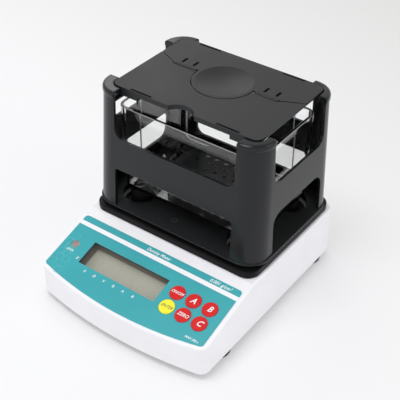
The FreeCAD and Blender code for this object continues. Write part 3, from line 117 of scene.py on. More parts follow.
def relief(tree, shader, height, depth, strength=1.0, under=None):
    """Bump of a real depth in metres, on top of another bump if one is given."""
    bump = tree.nodes.new("ShaderNodeBump")
    bump.inputs["Distance"].default_value = depth
    bump.inputs["Strength"].default_value = strength
    tree.links.new(height, bump.inputs["Height"])
    if under is not None:
        tree.links.new(under, bump.inputs["Normal"])
    tree.links.new(bump.outputs["Normal"], shader.inputs["Normal"])
    return bump.outputs["Normal"]


def soft_edges(tree, radius):
    """A mould never leaves a knife edge: this catches the light along every corner."""
    bevel = tree.nodes.new("ShaderNodeBevel")
    bevel.samples = 6
    bevel.inputs["Radius"].default_value = radius
    return bevel


def moulded(name, colour, other, grain, depth, gloss, patch=0.03, edge=0.4 * MM,
            shine=0.5, form=None):
    """Moulded plastic: skin grain, slow colour drift, and gloss that varies a little.

    A form, where one is given, shapes a wider hollow under the grain.
    """
    made, tree, shader = start_finish(name, colour, gloss[0], shine=shine)
    vector = place_in(tree)
    slow = cloud(tree, vector, patch, 3.0)
    fine = cloud(tree, vector, grain, 2.0, 0.6)
    tree.links.new(blend_colours(tree, patches(tree, slow), colour, other),
                   shader.inputs["Base Color"])
    tree.links.new(vary(tree, slow, *gloss), shader.inputs["Roughness"])
    under = soft_edges(tree, edge).outputs[0]
    if form is not None:
        under = form(tree, shader, vector, under)
    relief(tree, shader, fine, depth, 1.0, under)
    return made


def dress(names, made):
    """Gives the frame's own nodes their finish."""
    for name in names:
        mesh = node[name].data
        mesh.materials.clear()
        mesh.materials.append(made)


WHITE_ABS = moulded("white_abs", (0.87, 0.87, 0.905), (0.85, 0.85, 0.88),
                    0.45 * MM, 0.012 * MM, (0.38, 0.46))
dress(["base_housing"], WHITE_ABS)


# ---------------------------------------------------------------- black pan
# The pan that closes the base from below: black ABS, ribbed inside, held by
# four self-tapping screws driven up into the cover's bosses.

PAN_BLACK = moulded("pan_black", (0.022, 0.022, 0.024), (0.030, 0.030, 0.033),
                    0.6 * MM, 0.02 * MM, (0.5, 0.62))
dress(["base_pan"], PAN_BLACK)


def new_tree(name, sizes):
    """A geometry tree with named number inputs, and its first and last nodes."""
    tree = bpy.data.node_groups.new(name, "GeometryNodeTree")
    tree.interface.new_socket("Geometry", in_out="INPUT", socket_type="NodeSocketGeometry")
    for label, number in sizes.items():
        kind = "NodeSocketInt" if isinstance(number, int) else "NodeSocketFloat"
        socket = tree.interface.new_socket(label, in_out="INPUT", socket_type=kind)
        socket.default_value = number
    tree.interface.new_socket("Geometry", in_out="OUTPUT", socket_type="NodeSocketGeometry")
    first = tree.nodes.new("NodeGroupInput")
    last = tree.nodes.new("NodeGroupOutput")
    return tree, first, last


def step(tree, kind, **settings):
    """A node with its plain settings: modes as attributes, numbers by input name."""
    made = tree.nodes.new(kind)
    for name, value in settings.items():
        if hasattr(made, name):
            setattr(made, name, value)
        else:
            made.inputs[name.replace("_", " ")].default_value = value
    return made


def join(tree, *pairs):
    """Links each outlet to its inlet."""
    for outlet, inlet in pairs:
        tree.links.new(outlet, inlet)


def scatter(tree, first, shape):
    """One copy of the shape on each point that comes into the tree."""
    spread = step(tree, "GeometryNodeInstanceOnPoints")
    join(tree, (first.outputs["Geometry"], spread.inputs["Points"]),
         (shape, spread.inputs["Instance"]))
    return spread.outputs["Instances"]


def finish_tree(tree, last, outlet, finish):
    """Every tree ends the same way: real meshes, one finish."""
    real = step(tree, "GeometryNodeRealizeInstances")
    paint = step(tree, "GeometryNodeSetMaterial", Material=finish)
    join(tree, (outlet, real.inputs[0]), (real.outputs[0], paint.inputs["Geometry"]),
         (paint.outputs[0], last.inputs[0]))


def keep(name, mesh, body):
    """Links a finished mesh as a piece that rides on a body."""
    mesh.name = name
    piece = bpy.data.objects.new(name, mesh)
    bpy.context.scene.collection.objects.link(piece)
    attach(piece, body)
    return piece


def grown(name, tree, sizes, finish, body, points=((0, 0, 0),), lay=None):
    """Runs a geometry tree over some points and keeps the result as one plain mesh piece."""
    seed = bpy.data.meshes.new(name + "_points")
    seed.from_pydata(points, [], [])
    worker = bpy.data.objects.new(name + "_worker", seed)
    bpy.context.scene.collection.objects.link(worker)
    modifier = worker.modifiers.new("grow", "NODES")
    modifier.node_group = tree
    for item in tree.interface.items_tree:
        if item.in_out == "INPUT" and item.name in sizes:
            modifier[item.identifier] = sizes[item.name]
    graph = bpy.context.evaluated_depsgraph_get()
    mesh = bpy.data.meshes.new_from_object(worker.evaluated_get(graph))
    worker.modifiers.remove(modifier)
    bpy.data.objects.remove(worker)
    if lay is not None:
        mesh.transform(lay)
    mesh.materials.clear()
    mesh.materials.append(finish)
    return keep(name, mesh, body)


STEEL, tree, shader = start_finish("plated_steel", (0.56, 0.56, 0.57), 0.3, 1.0)
vector = place_in(tree)
tree.links.new(vary(tree, cloud(tree, vector, 0.8 * MM, 4.0), 0.24, 0.42),
               shader.inputs["Roughness"])
relief(tree, shader, cloud(tree, vector, 0.25 * MM), 0.006 * MM)

# A cross recess is cut into each domed head.
CROSS_LONG, CROSS_WIDE, CROSS_DEEP = 3.6 * MM, 0.8 * MM, 1.6 * MM
pan_screws, first, last = new_tree("pan_screws", {"Head radius": 3.2 * MM})
ball = step(pan_screws, "GeometryNodeMeshUVSphere", Segments=20, Rings=8)
dome = step(pan_screws, "GeometryNodeTransform", Scale=(1, 1, 0.35))
across = step(pan_screws, "GeometryNodeMeshCube", Size=(CROSS_LONG, CROSS_WIDE, CROSS_DEEP))
along = step(pan_screws, "GeometryNodeMeshCube", Size=(CROSS_WIDE, CROSS_LONG, CROSS_DEEP))
cross = step(pan_screws, "GeometryNodeJoinGeometry")
sunk = step(pan_screws, "GeometryNodeTransform", Translation=(0, 0, 1.4 * MM))
cut = step(pan_screws, "GeometryNodeMeshBoolean", operation="DIFFERENCE")
join(pan_screws, (first.outputs["Head radius"], ball.inputs["Radius"]),
     (ball.outputs["Mesh"], dome.inputs["Geometry"]),
     (across.outputs["Mesh"], cross.inputs[0]), (along.outputs["Mesh"], cross.inputs[0]),
     (cross.outputs[0], sunk.inputs["Geometry"]), (dome.outputs[0], cut.inputs["Mesh 1"]),
     (sunk.outputs[0], cut.inputs["Mesh 2"]))
finish_tree(pan_screws, last, scatter(pan_screws, first, cut.outputs[0]), STEEL)
SCREW_SIDE, SCREW_FRONT, SCREW_REAR = 84 * MM, -83 * MM, 104 * MM
pan_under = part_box("base_pan")[0].z
upside_down = Matrix.Rotation(math.pi, 4, "X")
grown("pan_screws", pan_screws, {"Head radius": 3.2 * MM}, STEEL, "base",
      [(side * SCREW_SIDE, -y, -pan_under) for side in (-1, 1) for y in (SCREW_FRONT, SCREW_REAR)],
      upside_down)


# ---------------------------------------------------------------- levelling feet
# Four rubber-shod knobs on threaded stems. The rim of each is ribbed so that
# it can be turned by a fingertip to centre the bubble.

RUBBER = moulded("foot_rubber", (0.018, 0.018, 0.019), (0.026, 0.025, 0.025),
                 0.5 * MM, 0.03 * MM, (0.68, 0.8), 0.01)
feet = [name for name in node if name.startswith("foot_")]
dress(feet, RUBBER)

RIB_MIDDLE = 2.7 * MM
foot_ribs, first, last = new_tree("foot_ribs", {
    "Knob radius": 12.5 * MM, "Ribs": 30, "Rib radius": 0.55 * MM, "Rib height": 3.2 * MM})
ring = step(foot_ribs, "GeometryNodeMeshCircle")
rib = step(foot_ribs, "GeometryNodeMeshCylinder", Vertices=8)
spread = step(foot_ribs, "GeometryNodeInstanceOnPoints")
join(foot_ribs, (first.outputs["Ribs"], ring.inputs["Vertices"]),
     (first.outputs["Knob radius"], ring.inputs["Radius"]),
     (first.outputs["Rib radius"], rib.inputs["Radius"]),
     (first.outputs["Rib height"], rib.inputs["Depth"]),
     (ring.outputs[0], spread.inputs["Points"]), (rib.outputs["Mesh"], spread.inputs["Instance"]))
finish_tree(foot_ribs, last, spread.outputs[0], RUBBER)
for name in feet:
    low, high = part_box(name)
    centre = (low + high) / 2
    grown(name + "_ribs", foot_ribs, {"Ribs": 30}, RUBBER, name,
          lay=Matrix.Translation((centre.x, centre.y, RIB_MIDDLE)))


# ---------------------------------------------------------------- panel overlay
# A polyester membrane printed on its back in teal, with a white line left
# clear across it, stuck into a shallow step in the sloping front of the cover.

SLOPE = math.radians(16.5)
RIDGE = Vector((0, -30 * MM, 60 * MM))
DOWN_THE_PANEL = Vector((0, -math.cos(SLOPE), -math.sin(SLOPE)))
FILM_TOP = 0.6 * MM
WHITE_LINE = (17.45 * MM, 21.9 * MM)
on_panel = Matrix.Translation(RIDGE) @ Matrix.Rotation(SLOPE, 4, "X")


def start_glass(name, colour, coat, coat_roughness, roughness):
    """A finish under a clear glossy layer."""
    made, tree, shader = start_finish(name, colour, roughness)
    shader.inputs["Coat Weight"].default_value = coat
    shader.inputs["Coat Roughness"].default_value = coat_roughness
    return made, tree, shader


def way(tree, vector, direction):
    """How far a point lies along a direction."""
    product = tree.nodes.new("ShaderNodeVectorMath")
    product.operation = "DOT_PRODUCT"
    product.inputs[1].default_value = direction
    tree.links.new(vector, product.inputs[0])
    return product.outputs["Value"]


def reckon(tree, operation, first, second):
    """One sum on an outlet and a number or another outlet."""
    made = tree.nodes.new("ShaderNodeMath")
    made.operation = operation
    tree.links.new(first, made.inputs[0])
    if isinstance(second, bpy.types.NodeSocket):
        tree.links.new(second, made.inputs[1])
    else:
        made.inputs[1].default_value = second
    return made.outputs[0]


def band(tree, value, low, high, soft=0.06 * MM):
    """1 between low and high, 0 outside, with a printed edge."""
    rise = span(tree, value, low - soft, low + soft, 0.0, 1.0)
    fall = span(tree, value, high - soft, high + soft, 1.0, 0.0)
    return reckon(tree, "MULTIPLY", rise, fall)


FILM, tree, shader = start_glass("teal_film", (0.055, 0.42, 0.46), 0.25, 0.12, 0.33)
vector = place_in(tree)
ridge_way = RIDGE.dot(DOWN_THE_PANEL)
line = band(tree, way(tree, vector, DOWN_THE_PANEL),
            ridge_way + WHITE_LINE[0], ridge_way + WHITE_LINE[1])
teal_drift = vary(tree, cloud(tree, vector, 0.05, 2.0), 0.0, 1.0)
teal = blend_colours(tree, teal_drift, (0.020, 0.345, 0.390), (0.026, 0.372, 0.420))
tree.links.new(blend_colours(tree, line, teal, (0.88, 0.88, 0.92)), shader.inputs["Base Color"])
tree.links.new(vary(tree, cloud(tree, vector, 1.5 * MM), 0.3, 0.4), shader.inputs["Roughness"])
relief(tree, shader, cloud(tree, vector, 0.22 * MM, 1.0), 0.004 * MM)
dress(["panel_overlay"], FILM)

PRINT, tree, shader = start_finish("white_print", (0.80, 0.82, 0.83), 0.4)
vector = place_in(tree)
tree.links.new(blend_colours(tree, cloud(tree, vector, 0.5 * MM, 2.0),
                             (0.80, 0.86, 0.87), (0.92, 0.93, 0.94)),
               shader.inputs["Base Color"])
tree.links.new(vary(tree, cloud(tree, vector, 1.5 * MM), 0.34, 0.46), shader.inputs["Roughness"])


def lettering(name, words, size, x, down, lift, finish, body,
              lean=0.0, bold=0.0, wide=1.0, layer=0.03 * MM):
    """Printed words on the panel, read from the front, as a thin closed mesh."""
    font = bpy.data.curves.new(name + "_font", "FONT")
    font.body = words
    font.size = size
    font.align_x = "CENTER"
    font.align_y = "CENTER"
    font.shear = lean
    font.offset = bold
    font.resolution_u = 3
    font.extrude = layer / 2
    writer = bpy.data.objects.new(name + "_writer", font)
    bpy.context.scene.collection.objects.link(writer)
    graph = bpy.context.evaluated_depsgraph_get()
    mesh = bpy.data.meshes.new_from_object(writer.evaluated_get(graph))
    bpy.data.objects.remove(writer)
    place = Matrix.Translation((x, -down, lift)) @ Matrix.Diagonal((wide, 1, 1, 1))
    mesh.transform(on_panel @ place)
    shape = bmesh.new()
    shape.from_mesh(mesh)
    bmesh.ops.remove_doubles(shape, verts=shape.verts, dist=1e-7)
    bmesh.ops.recalc_face_normals(shape, faces=shape.faces)
    shape.to_mesh(mesh)
    shape.free()
    mesh.materials.clear()
    mesh.materials.append(finish)
    return keep(name, mesh, body)


def below(y):
    """Distance down the slope of a point on the panel given by its y, in millimetres."""
    return (RIDGE.y - y * MM) / math.cos(SLOPE)


# Captions: words, x, y and letter height, in millimetres.
for index, (words, x, y, size) in enumerate([
        ("LEVEL", -78.9, -78.9, 3.2), ("g", -66.3, -82.3, 4.2), ("0", -50.4, -91.0, 3.8),
        ("D", -38.9, -91.0, 3.8), ("V", -27.5, -91.0, 3.8), ("%", -16.2, -91.0, 3.8),
        ("A", -4.9, -91.0, 3.8), ("B", 6.5, -91.0, 3.8), ("MAX 300 g", 78.5, -99.5, 3.0)]):
    lettering("caption_%d" % index, words, size * MM, x * MM, below(y), FILM_TOP, PRINT,
              "base", 0.2, 0.05 * MM)
for name, words, x, size, bold in (("caption_type", "Density Meter", 0.0, 4.6, 0.05),
                                   ("caption_unit", "0.001 g/cm³", 69.5, 4.9, 0.06)):
    lettering(name, words, size * MM, x * MM, below(-43.9), FILM_TOP, PRINT,
              "base", 0.25, bold * MM)

HONEYCOMB, tree, shader = start_finish("honeycomb_print", (0.12, 0.5, 0.55), 0.38)
vector = place_in(tree)
tree.links.new(blend_colours(tree, patches(tree, cloud(tree, vector, 4 * MM, 3.0)),
                             (0.05, 0.42, 0.465), (0.16, 0.56, 0.60)),
               shader.inputs["Base Color"])

honeycomb, first, last = new_tree("honeycomb", {
    "Cell radius": 4.15 * MM, "Line width": 0.3 * MM, "Kept share": 0.9, "Seed": 4})
outer = step(honeycomb, "GeometryNodeCurvePrimitiveCircle", Resolution=6)
inner = step(honeycomb, "GeometryNodeCurvePrimitiveCircle", Resolution=6)
less = step(honeycomb, "ShaderNodeMath", operation="SUBTRACT")
pair = step(honeycomb, "GeometryNodeJoinGeometry")
cell = step(honeycomb, "GeometryNodeFillCurve")
keep_some = step(honeycomb, "FunctionNodeRandomValue", data_type="BOOLEAN")
spread = step(honeycomb, "GeometryNodeInstanceOnPoints")
join(honeycomb, (first.outputs["Cell radius"], outer.inputs["Radius"]),
     (first.outputs["Cell radius"], less.inputs[0]), (first.outputs["Line width"], less.inputs[1]),
     (less.outputs[0], inner.inputs["Radius"]), (outer.outputs[0], pair.inputs[0]),
     (inner.outputs[0], pair.inputs[0]), (pair.outputs[0], cell.inputs["Curve"]),
     (first.outputs["Kept share"], keep_some.inputs["Probability"]),
     (first.outputs["Seed"], keep_some.inputs["Seed"]),
     (keep_some.outputs[3], spread.inputs["Selection"]),
     (first.outputs["Geometry"], spread.inputs["Points"]),
     (cell.outputs[0], spread.inputs["Instance"]))
finish_tree(honeycomb, last, spread.outputs[0], HONEYCOMB)
cells = [(x * MM, -down * MM, FILM_TOP + 0.02 * MM) for x, down in [
    (-82.5, 36.7), (-86.1, 43.0), (-82.5, 49.3), (-86.1, 55.6), (-78.9, 55.6), (-82.5, 61.9),
    (-86.1, 68.2), (-78.9, 68.2), (-75.2, 74.5), (-75.2, 61.9)]]
grown("honeycomb", honeycomb, {"Seed": 4}, HONEYCOMB, "base", cells, on_panel)


# ---------------------------------------------------------------- display
# A reflective liquid crystal cell at the foot of a deep dark surround. The
# segments of its six figures are just visible when it is switched off.

UP_FROM_PANEL = Vector((0, -math.sin(SLOPE), math.cos(SLOPE)))
SURROUND, tree, shader = start_finish("display_surround", (0.1, 0.075, 0.07), 0.5)
vector = place_in(tree)
panel_level = RIDGE.dot(UP_FROM_PANEL)
# The walls are painted lighter deep down, next to the glass: a painted reflection of the glass in
# them.
rise = span(tree, way(tree, vector, UP_FROM_PANEL),
            panel_level - 10 * MM, panel_level - 1 * MM, 0.0, 1.0)
tree.links.new(blend_colours(tree, rise, (0.215, 0.20, 0.18), (0.07, 0.052, 0.052)),
               shader.inputs["Base Color"])
fine = cloud(tree, vector, 0.3 * MM, 2.0)
tree.links.new(vary(tree, fine, 0.45, 0.6), shader.inputs["Roughness"])
relief(tree, shader, fine, 0.01 * MM)
dress(["lcd_bezel"], SURROUND)

GLASS, tree, shader = start_glass("display_glass", (0.37, 0.375, 0.30), 0.6, 0.05, 0.3)
vector = place_in(tree)
haze = vary(tree, cloud(tree, vector, 0.03, 2.0), 0.0, 1.0)
tree.links.new(blend_colours(tree, haze, (0.405, 0.41, 0.335), (0.44, 0.44, 0.365)),
               shader.inputs["Base Color"])
relief(tree, shader, cloud(tree, vector, 0.15 * MM, 1.0), 0.002 * MM)
dress(["lcd_display"], GLASS)

SEGMENT, tree, shader = start_glass("display_segment", (0.39, 0.395, 0.32), 0.6, 0.05, 0.3)
vector = place_in(tree)
tree.links.new(blend_colours(tree, cloud(tree, vector, 5 * MM),
                             (0.395, 0.40, 0.325), (0.41, 0.415, 0.34)),
               shader.inputs["Base Color"])

figures, first, last = new_tree("figures", {"Bar length": 5.0 * MM, "Bar width": 1.1 * MM})
hexagon = step(figures, "GeometryNodeMeshCircle", fill_type="NGON", Vertices=6, Radius=0.5)
bar_size = step(figures, "ShaderNodeCombineXYZ", Z=1.0)
bar = step(figures, "GeometryNodeTransform")
join(figures, (first.outputs["Bar length"], bar_size.inputs["X"]),
     (first.outputs["Bar width"], bar_size.inputs["Y"]),
     (hexagon.outputs[0], bar.inputs["Geometry"]), (bar_size.outputs[0], bar.inputs["Scale"]))
finish_tree(figures, last, scatter(figures, first, bar.outputs[0]), SEGMENT)

# Three flat bars and four upright ones make a figure; offsets in millimetres.
FIRST_FIGURE, FIGURE_PITCH, FIGURE_LEAN = -51.5, 13.2, 0.12
glass_middle = Vector((0, -45.65 * MM, -10.97 * MM))
for kind, offsets, spin in (("flat", [(0, 6), (0, 0), (0, -6)], 0),
                            ("upright", [(-3, 3), (3, 3), (-3, -3), (3, -3)], 90)):
    turned = Matrix.Rotation(math.radians(spin), 4, "Z")
    back = Matrix.Rotation(math.radians(-spin), 3, "Z")
    places = []
    for figure in range(6):
        for dx, dy in offsets:
            x = FIRST_FIGURE + figure * FIGURE_PITCH + dx + dy * FIGURE_LEAN
            places.append(tuple(back @ Vector((x, dy, 0)) * MM))
    grown("figures_" + kind, figures, {"Bar length": 5.2 * MM}, SEGMENT, "base",
          places, on_panel @ Matrix.Translation(glass_middle) @ turned)


# ---------------------------------------------------------------- bubble level
# A round spirit level pressed into the cover: a clouded acrylic vial with a
# fine black centring ring printed on its window.

LEVEL_X, LEVEL_DOWN = -78.46 * MM, 43.6 * MM
VIAL, tree, shader = start_glass("level_vial", (0.32, 0.25, 0.235), 0.5, 0.08, 0.25)
vector = place_in(tree)
tree.links.new(blend_colours(tree, patches(tree, cloud(tree, vector, 4 * MM, 2.0)),
                             (0.30, 0.215, 0.20), (0.42, 0.33, 0.305)),
               shader.inputs["Base Color"])
relief(tree, shader, cloud(tree, vector, 0.3 * MM), 0.003 * MM)
dress(["bubble_level"], VIAL)


def lathed(name, profile, steps, lay, finish, body):
    """A closed profile of (radius, height) in millimetres, turned about the upright axis."""
    shape = bmesh.new()
    rings = []
    for i in range(steps):
        angle = 2 * math.pi * i / steps
        rings.append([shape.verts.new((r * MM * math.cos(angle), r * MM * math.sin(angle), z * MM))
                      for r, z in profile])
    count = len(profile)
    for i in range(steps):
        here, there = rings[i], rings[(i + 1) % steps]
        for j in range(count):
            shape.faces.new((here[j], there[j], there[(j + 1) % count], here[(j + 1) % count]))
    bmesh.ops.remove_doubles(shape, verts=shape.verts, dist=1e-8)
    bmesh.ops.recalc_face_normals(shape, faces=shape.faces)
    mesh = bpy.data.meshes.new(name)
    shape.to_mesh(mesh)
    shape.free()
    mesh.transform(lay)
    mesh.materials.append(finish)
    return keep(name, mesh, body)


BLACK_PRINT = moulded("black_print", (0.005, 0.005, 0.006), (0.008, 0.008, 0.009),
                      0.4 * MM, 0.01 * MM, (0.5, 0.6), shine=0.2)
lathed("level_ring", [(2.3, 0.0), (2.42, 0.0), (2.42, 0.04), (2.3, 0.04)], 40,
       on_panel @ Matrix.Translation((LEVEL_X, -LEVEL_DOWN, 0)), BLACK_PRINT,
       "base")


# ---------------------------------------------------------------- keys
# Six domed push caps on rubber switches, five in red and the enter key in
# yellow, with pad-printed words that lean forward.

KEY_RED = moulded("key_red", (0.68, 0.012, 0.013), (0.63, 0.010, 0.011),
                  0.3 * MM, 0.006 * MM, (0.32, 0.42), 0.008, shine=0.25)
KEY_YELLOW = moulded("key_yellow", (0.95, 0.89, 0.02), (0.92, 0.85, 0.018),
                     0.3 * MM, 0.006 * MM, (0.32, 0.42), 0.008)
GREY_PRINT = moulded("grey_print", (0.10, 0.10, 0.09), (0.14, 0.14, 0.12),
                     0.4 * MM, 0.002 * MM, (0.4, 0.5), 0.002)
COLUMNS, ROWS = (40.56, 58.26, 75.96), (40.4, 56.8)
KEY_TOP = 1.3 * MM
# Each key: its word, column, row, letter height in millimetres, width and boldness.
for name, words, column, row, size, wide, bold in [
        ("key_on_off", "ON/OFF", 0, 0, 3.9, 0.92, 0.012),
        ("key_a", "A", 1, 0, 7.9, 0.95, 0.018), ("key_b", "B", 2, 0, 7.9, 0.95, 0.018),
        ("key_enter", "ENTER", 0, 1, 4.2, 0.95, 0.012),
        ("key_zero", "ZERO", 1, 1, 4.9, 0.9, 0.012), ("key_c", "C", 2, 1, 7.9, 0.95, 0.018)]:
    if name == "key_enter":
        cap, ink, slot = KEY_YELLOW, GREY_PRINT, "key_yellow"
    else:
        cap, ink, slot = KEY_RED, PRINT, "key_red"
    dress([name], cap)
    lettering(name + "_words", words, size * MM, COLUMNS[column] * MM, ROWS[row] * MM, KEY_TOP,
              ink, name, 0.3, bold * size * MM, wide)


# ---------------------------------------------------------------- black frame and tray
# The tray is screwed to the weighing spider, and the frame moulding on it
# rises as four hollow posts with a belt. Both are black ABS; the bead caps
# on the posts came out of a polished part of the mould.

CAP_HEIGHT = 5.9 * MM
FRAME_FLOOR = 70.4 * MM
FLANGE = (66 * MM, 71.5 * MM)
SATIN, tree, shader = start_finish("satin_black", (0.011, 0.012, 0.014), 0.3, shine=0.36)
vector = place_in(tree)
slow = cloud(tree, vector, 0.04, 3.0)
tree.links.new(blend_colours(tree, patches(tree, slow),
                             (0.0040, 0.0048, 0.0060), (0.0062, 0.0072, 0.0086)),
               shader.inputs["Base Color"])


def height_in(tree, vector):
    """How high a point lies."""
    split = tree.nodes.new("ShaderNodeSeparateXYZ")
    tree.links.new(vector, split.inputs[0])
    return split.outputs["Z"]


def swap(tree, share, usual, other):
    """An outlet's value where the share is 0, a number where it is 1."""
    mix = tree.nodes.new("ShaderNodeMix")
    join(tree, (share, mix.inputs[0]), (usual, mix.inputs[2]))
    mix.inputs[3].default_value = other
    return mix.outputs[0]


# The caps are glossier than the posts, and the floor, which no hand reaches, is dull.
height = height_in(tree, vector)
cap_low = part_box("frame")[1].z - CAP_HEIGHT
polished = span(tree, height, cap_low - 0.3 * MM, cap_low + 0.3 * MM, 0.0, 1.0)
gloss = swap(tree, polished, vary(tree, slow, 0.2, 0.25), 0.11)
on_floor = band(tree, height, FRAME_FLOOR - 0.3 * MM, FRAME_FLOOR + 0.1 * MM, 0.04 * MM)
tree.links.new(swap(tree, on_floor, gloss, 0.62), shader.inputs["Roughness"])
rounding = soft_edges(tree, 0.5 * MM)
flange = span(tree, band(tree, height, *FLANGE, 0.3 * MM), 0.0, 1.0, 0.0, 0.5)
softer = reckon(tree, "MAXIMUM", polished, flange)
tree.links.new(span(tree, softer, 0.0, 1.0, 0.5 * MM, 2.4 * MM), rounding.inputs["Radius"])
relief(tree, shader, cloud(tree, vector, 0.35 * MM, 2.0), 0.004 * MM, 1.0, rounding.outputs[0])
dress(["frame"], SATIN)

TRAY = moulded("tray_black", (0.0035, 0.0036, 0.004), (0.006, 0.006, 0.0065),
               0.4 * MM, 0.008 * MM, (0.34, 0.42), 0.05, 0.6 * MM, shine=0.12)
dress(["platform_tray"], TRAY)

# Pillars come up through the tray and carry the tank on soft rings.
PILLAR = moulded("pillar_black", (0.005, 0.005, 0.006), (0.008, 0.008, 0.009),
                 0.4 * MM, 0.01 * MM, (0.5, 0.6), shine=0.2)
RING = moulded("ring_silicone", (0.80, 0.82, 0.82), (0.70, 0.72, 0.72),
               0.5 * MM, 0.01 * MM, (0.45, 0.6), 0.003)
for name in node:
    if name.startswith("pillar_"):
        dress([name], RING if name.startswith("pillar_ring") else PILLAR)
BLACKED = moulded("blackened_steel", (0.012, 0.012, 0.012), (0.02, 0.019, 0.018),
                  0.3 * MM, 0.006 * MM, (0.35, 0.5), 0.004, 0.1 * MM)
dress(["floor_screw_front", "floor_screw_rear"], BLACKED)

# Thin dark blocks of painted shade: the shade in the cross recess of each floor screw here, and
# the shade below each slot later.
SHADE = moulded("slot_shade_black", (0.002, 0.002, 0.002), (0.003, 0.003, 0.003),
                0.5 * MM, 0.01 * MM, (0.85, 0.95), 0.004)
dark_blocks, first, last = new_tree("dark_blocks", {
    "Width": 5.0 * MM, "Length": 10.0 * MM, "Depth": 0.5 * MM})
block_size = step(dark_blocks, "ShaderNodeCombineXYZ")
block = step(dark_blocks, "GeometryNodeMeshCube")
join(dark_blocks, (first.outputs["Width"], block_size.inputs["X"]),
     (first.outputs["Length"], block_size.inputs["Y"]),
     (first.outputs["Depth"], block_size.inputs["Z"]),
     (block_size.outputs[0], block.inputs["Size"]))
finish_tree(dark_blocks, last, scatter(dark_blocks, first, block.outputs["Mesh"]), SHADE)
# Two crossed dark bars on each floor screw head: painted shade standing for its cross recess.
screw_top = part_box("floor_screw_front")[1].z + 0.01 * MM
heads = [(-8 * MM, -10 * MM, screw_top), (8 * MM, 100 * MM, screw_top)]
for turn, width, length in (("across", CROSS_LONG, CROSS_WIDE), ("along", CROSS_WIDE, CROSS_LONG)):
    grown("screw_cross_shade_" + turn, dark_blocks,
          {"Width": width, "Length": length, "Depth": 0.05 * MM},
          SHADE, "base", heads)


# ---------------------------------------------------------------- table and flap
# The lift-off table with its shallow weighing dish, and the front flap that
# hinges on it: black ABS with a finer, duller skin than the frame.

DISH_MIDDLE = (0, 55 * MM, 0)
DISH_REACH, DISH_SWEEP = 27 * MM, 3.0 * MM
TABLE_SKIN = ((0.008, 0.0085, 0.0098), (0.0115, 0.012, 0.0135),
              0.3 * MM, 0.008 * MM, (0.42, 0.5), 0.05)


def dish_sweep(tree, shader, vector, under):
    """A bowl that curves up from the middle of the dish to its rim."""
    flat = tree.nodes.new("ShaderNodeVectorMath")
    flat.operation = "MULTIPLY"
    flat.inputs[1].default_value = (1, 1, 0)
    from_middle = tree.nodes.new("ShaderNodeVectorMath")
    from_middle.operation = "DISTANCE"
    from_middle.inputs[1].default_value = DISH_MIDDLE
    join(tree, (vector, flat.inputs[0]), (flat.outputs[0], from_middle.inputs[0]))
    reach = span(tree, from_middle.outputs["Value"], 0.0, DISH_REACH, 0.0, 1.0)
    return relief(tree, shader, reckon(tree, "POWER", reach, 2.0), DISH_SWEEP, 1.0, under)


dress(["front_flap"], moulded("table_black", *TABLE_SKIN, shine=0.38))
dress(["top_table"], moulded("table_dished", *TABLE_SKIN, shine=0.38, form=dish_sweep))
dress(["hinge_pin_left", "hinge_pin_right"], STEEL)

# Hook holes and edge slots: a thin dark rim of painted shade round each, which makes the opening
# read wider, and a dark plate of painted shade closing it below.
slot_shade_rims, first, last = new_tree("slot_shade_rims", {
    "Width": 2.0 * MM, "Length": 7.7 * MM, "Rim width": 0.45 * MM})
around = step(slot_shade_rims, "GeometryNodeCurvePrimitiveQuadrilateral")
inside = step(slot_shade_rims, "GeometryNodeCurvePrimitiveQuadrilateral")
pair = step(slot_shade_rims, "GeometryNodeJoinGeometry")
shade_rim = step(slot_shade_rims, "GeometryNodeFillCurve")
for number, source in enumerate(("Width", "Length")):
    wider = step(slot_shade_rims, "ShaderNodeMath", operation="MULTIPLY_ADD")
    wider.inputs[1].default_value = 2.0
    join(slot_shade_rims, (first.outputs["Rim width"], wider.inputs[0]),
         (first.outputs[source], wider.inputs[2]), (wider.outputs[0], around.inputs[number]),
         (first.outputs[source], inside.inputs[number]))
join(slot_shade_rims, (around.outputs[0], pair.inputs[0]), (inside.outputs[0], pair.inputs[0]),
     (pair.outputs[0], shade_rim.inputs["Curve"]))
finish_tree(slot_shade_rims, last, scatter(slot_shade_rims, first, shade_rim.outputs[0]), SHADE)


def thicken(mesh, depth):
    """Gives a flat cut sheet a top and a closed wall, face by face in the same order each run."""
    shape = bmesh.new()
    shape.from_mesh(mesh)
    bmesh.ops.remove_doubles(shape, verts=shape.verts, dist=1e-6)
    sheet = shape.faces[:]
    border = [edge.link_loops[0] for edge in shape.edges if edge.is_boundary]
    outline = [(loop.vert, loop.link_loop_next.vert) for loop in border]
    above = {low: shape.verts.new(low.co + Vector((0, 0, depth))) for low in shape.verts[:]}
    for face in sheet:
        shape.faces.new([above[low] for low in face.verts])
    for start, end in outline:
        shape.faces.new((start, end, above[end], above[start]))
    bmesh.ops.recalc_face_normals(shape, faces=shape.faces)
    shape.to_mesh(mesh)
    shape.free()


TABLE_TOP, PLATE = 193.2 * MM, 2.2 * MM
SHADE_OVER = 1.6
SHADE_MIDDLE, SHADE_RIM_FOOT = TABLE_TOP - PLATE - 0.27 * MM, TABLE_TOP + 0.01 * MM
# Each kind of slot: its body, width, length, and the places of its middles, in millimetres.
for name, body, width, length, spots in [
        ("hook", "table", 2.0, 7.7, [(x, 64.85) for x in (-39, -51.5, 39, 51.5)]),
        ("rear_slot", "table", 23.0, 1.6, [(-46.5, 99.1), (46.5, 99.1)]),
        ("front_slot", "flap", 23.0, 1.6, [(-46.5, -6.5), (46.5, -6.5)])]:
    # The shades close each slot below and the rims border it on top: both painted shade.
    grown(name + "_shades", dark_blocks,
          {"Width": (width + SHADE_OVER) * MM, "Length": (length + SHADE_OVER) * MM},
          SHADE, body, [(x * MM, y * MM, SHADE_MIDDLE) for x, y in spots])
    shade_rims = grown(name + "_shade_rims", slot_shade_rims, {"Width": width * MM, "Length": length * MM},
                 SHADE, body, [(x * MM, y * MM, SHADE_RIM_FOOT) for x, y in spots])
    thicken(shade_rims.data, 0.04 * MM)
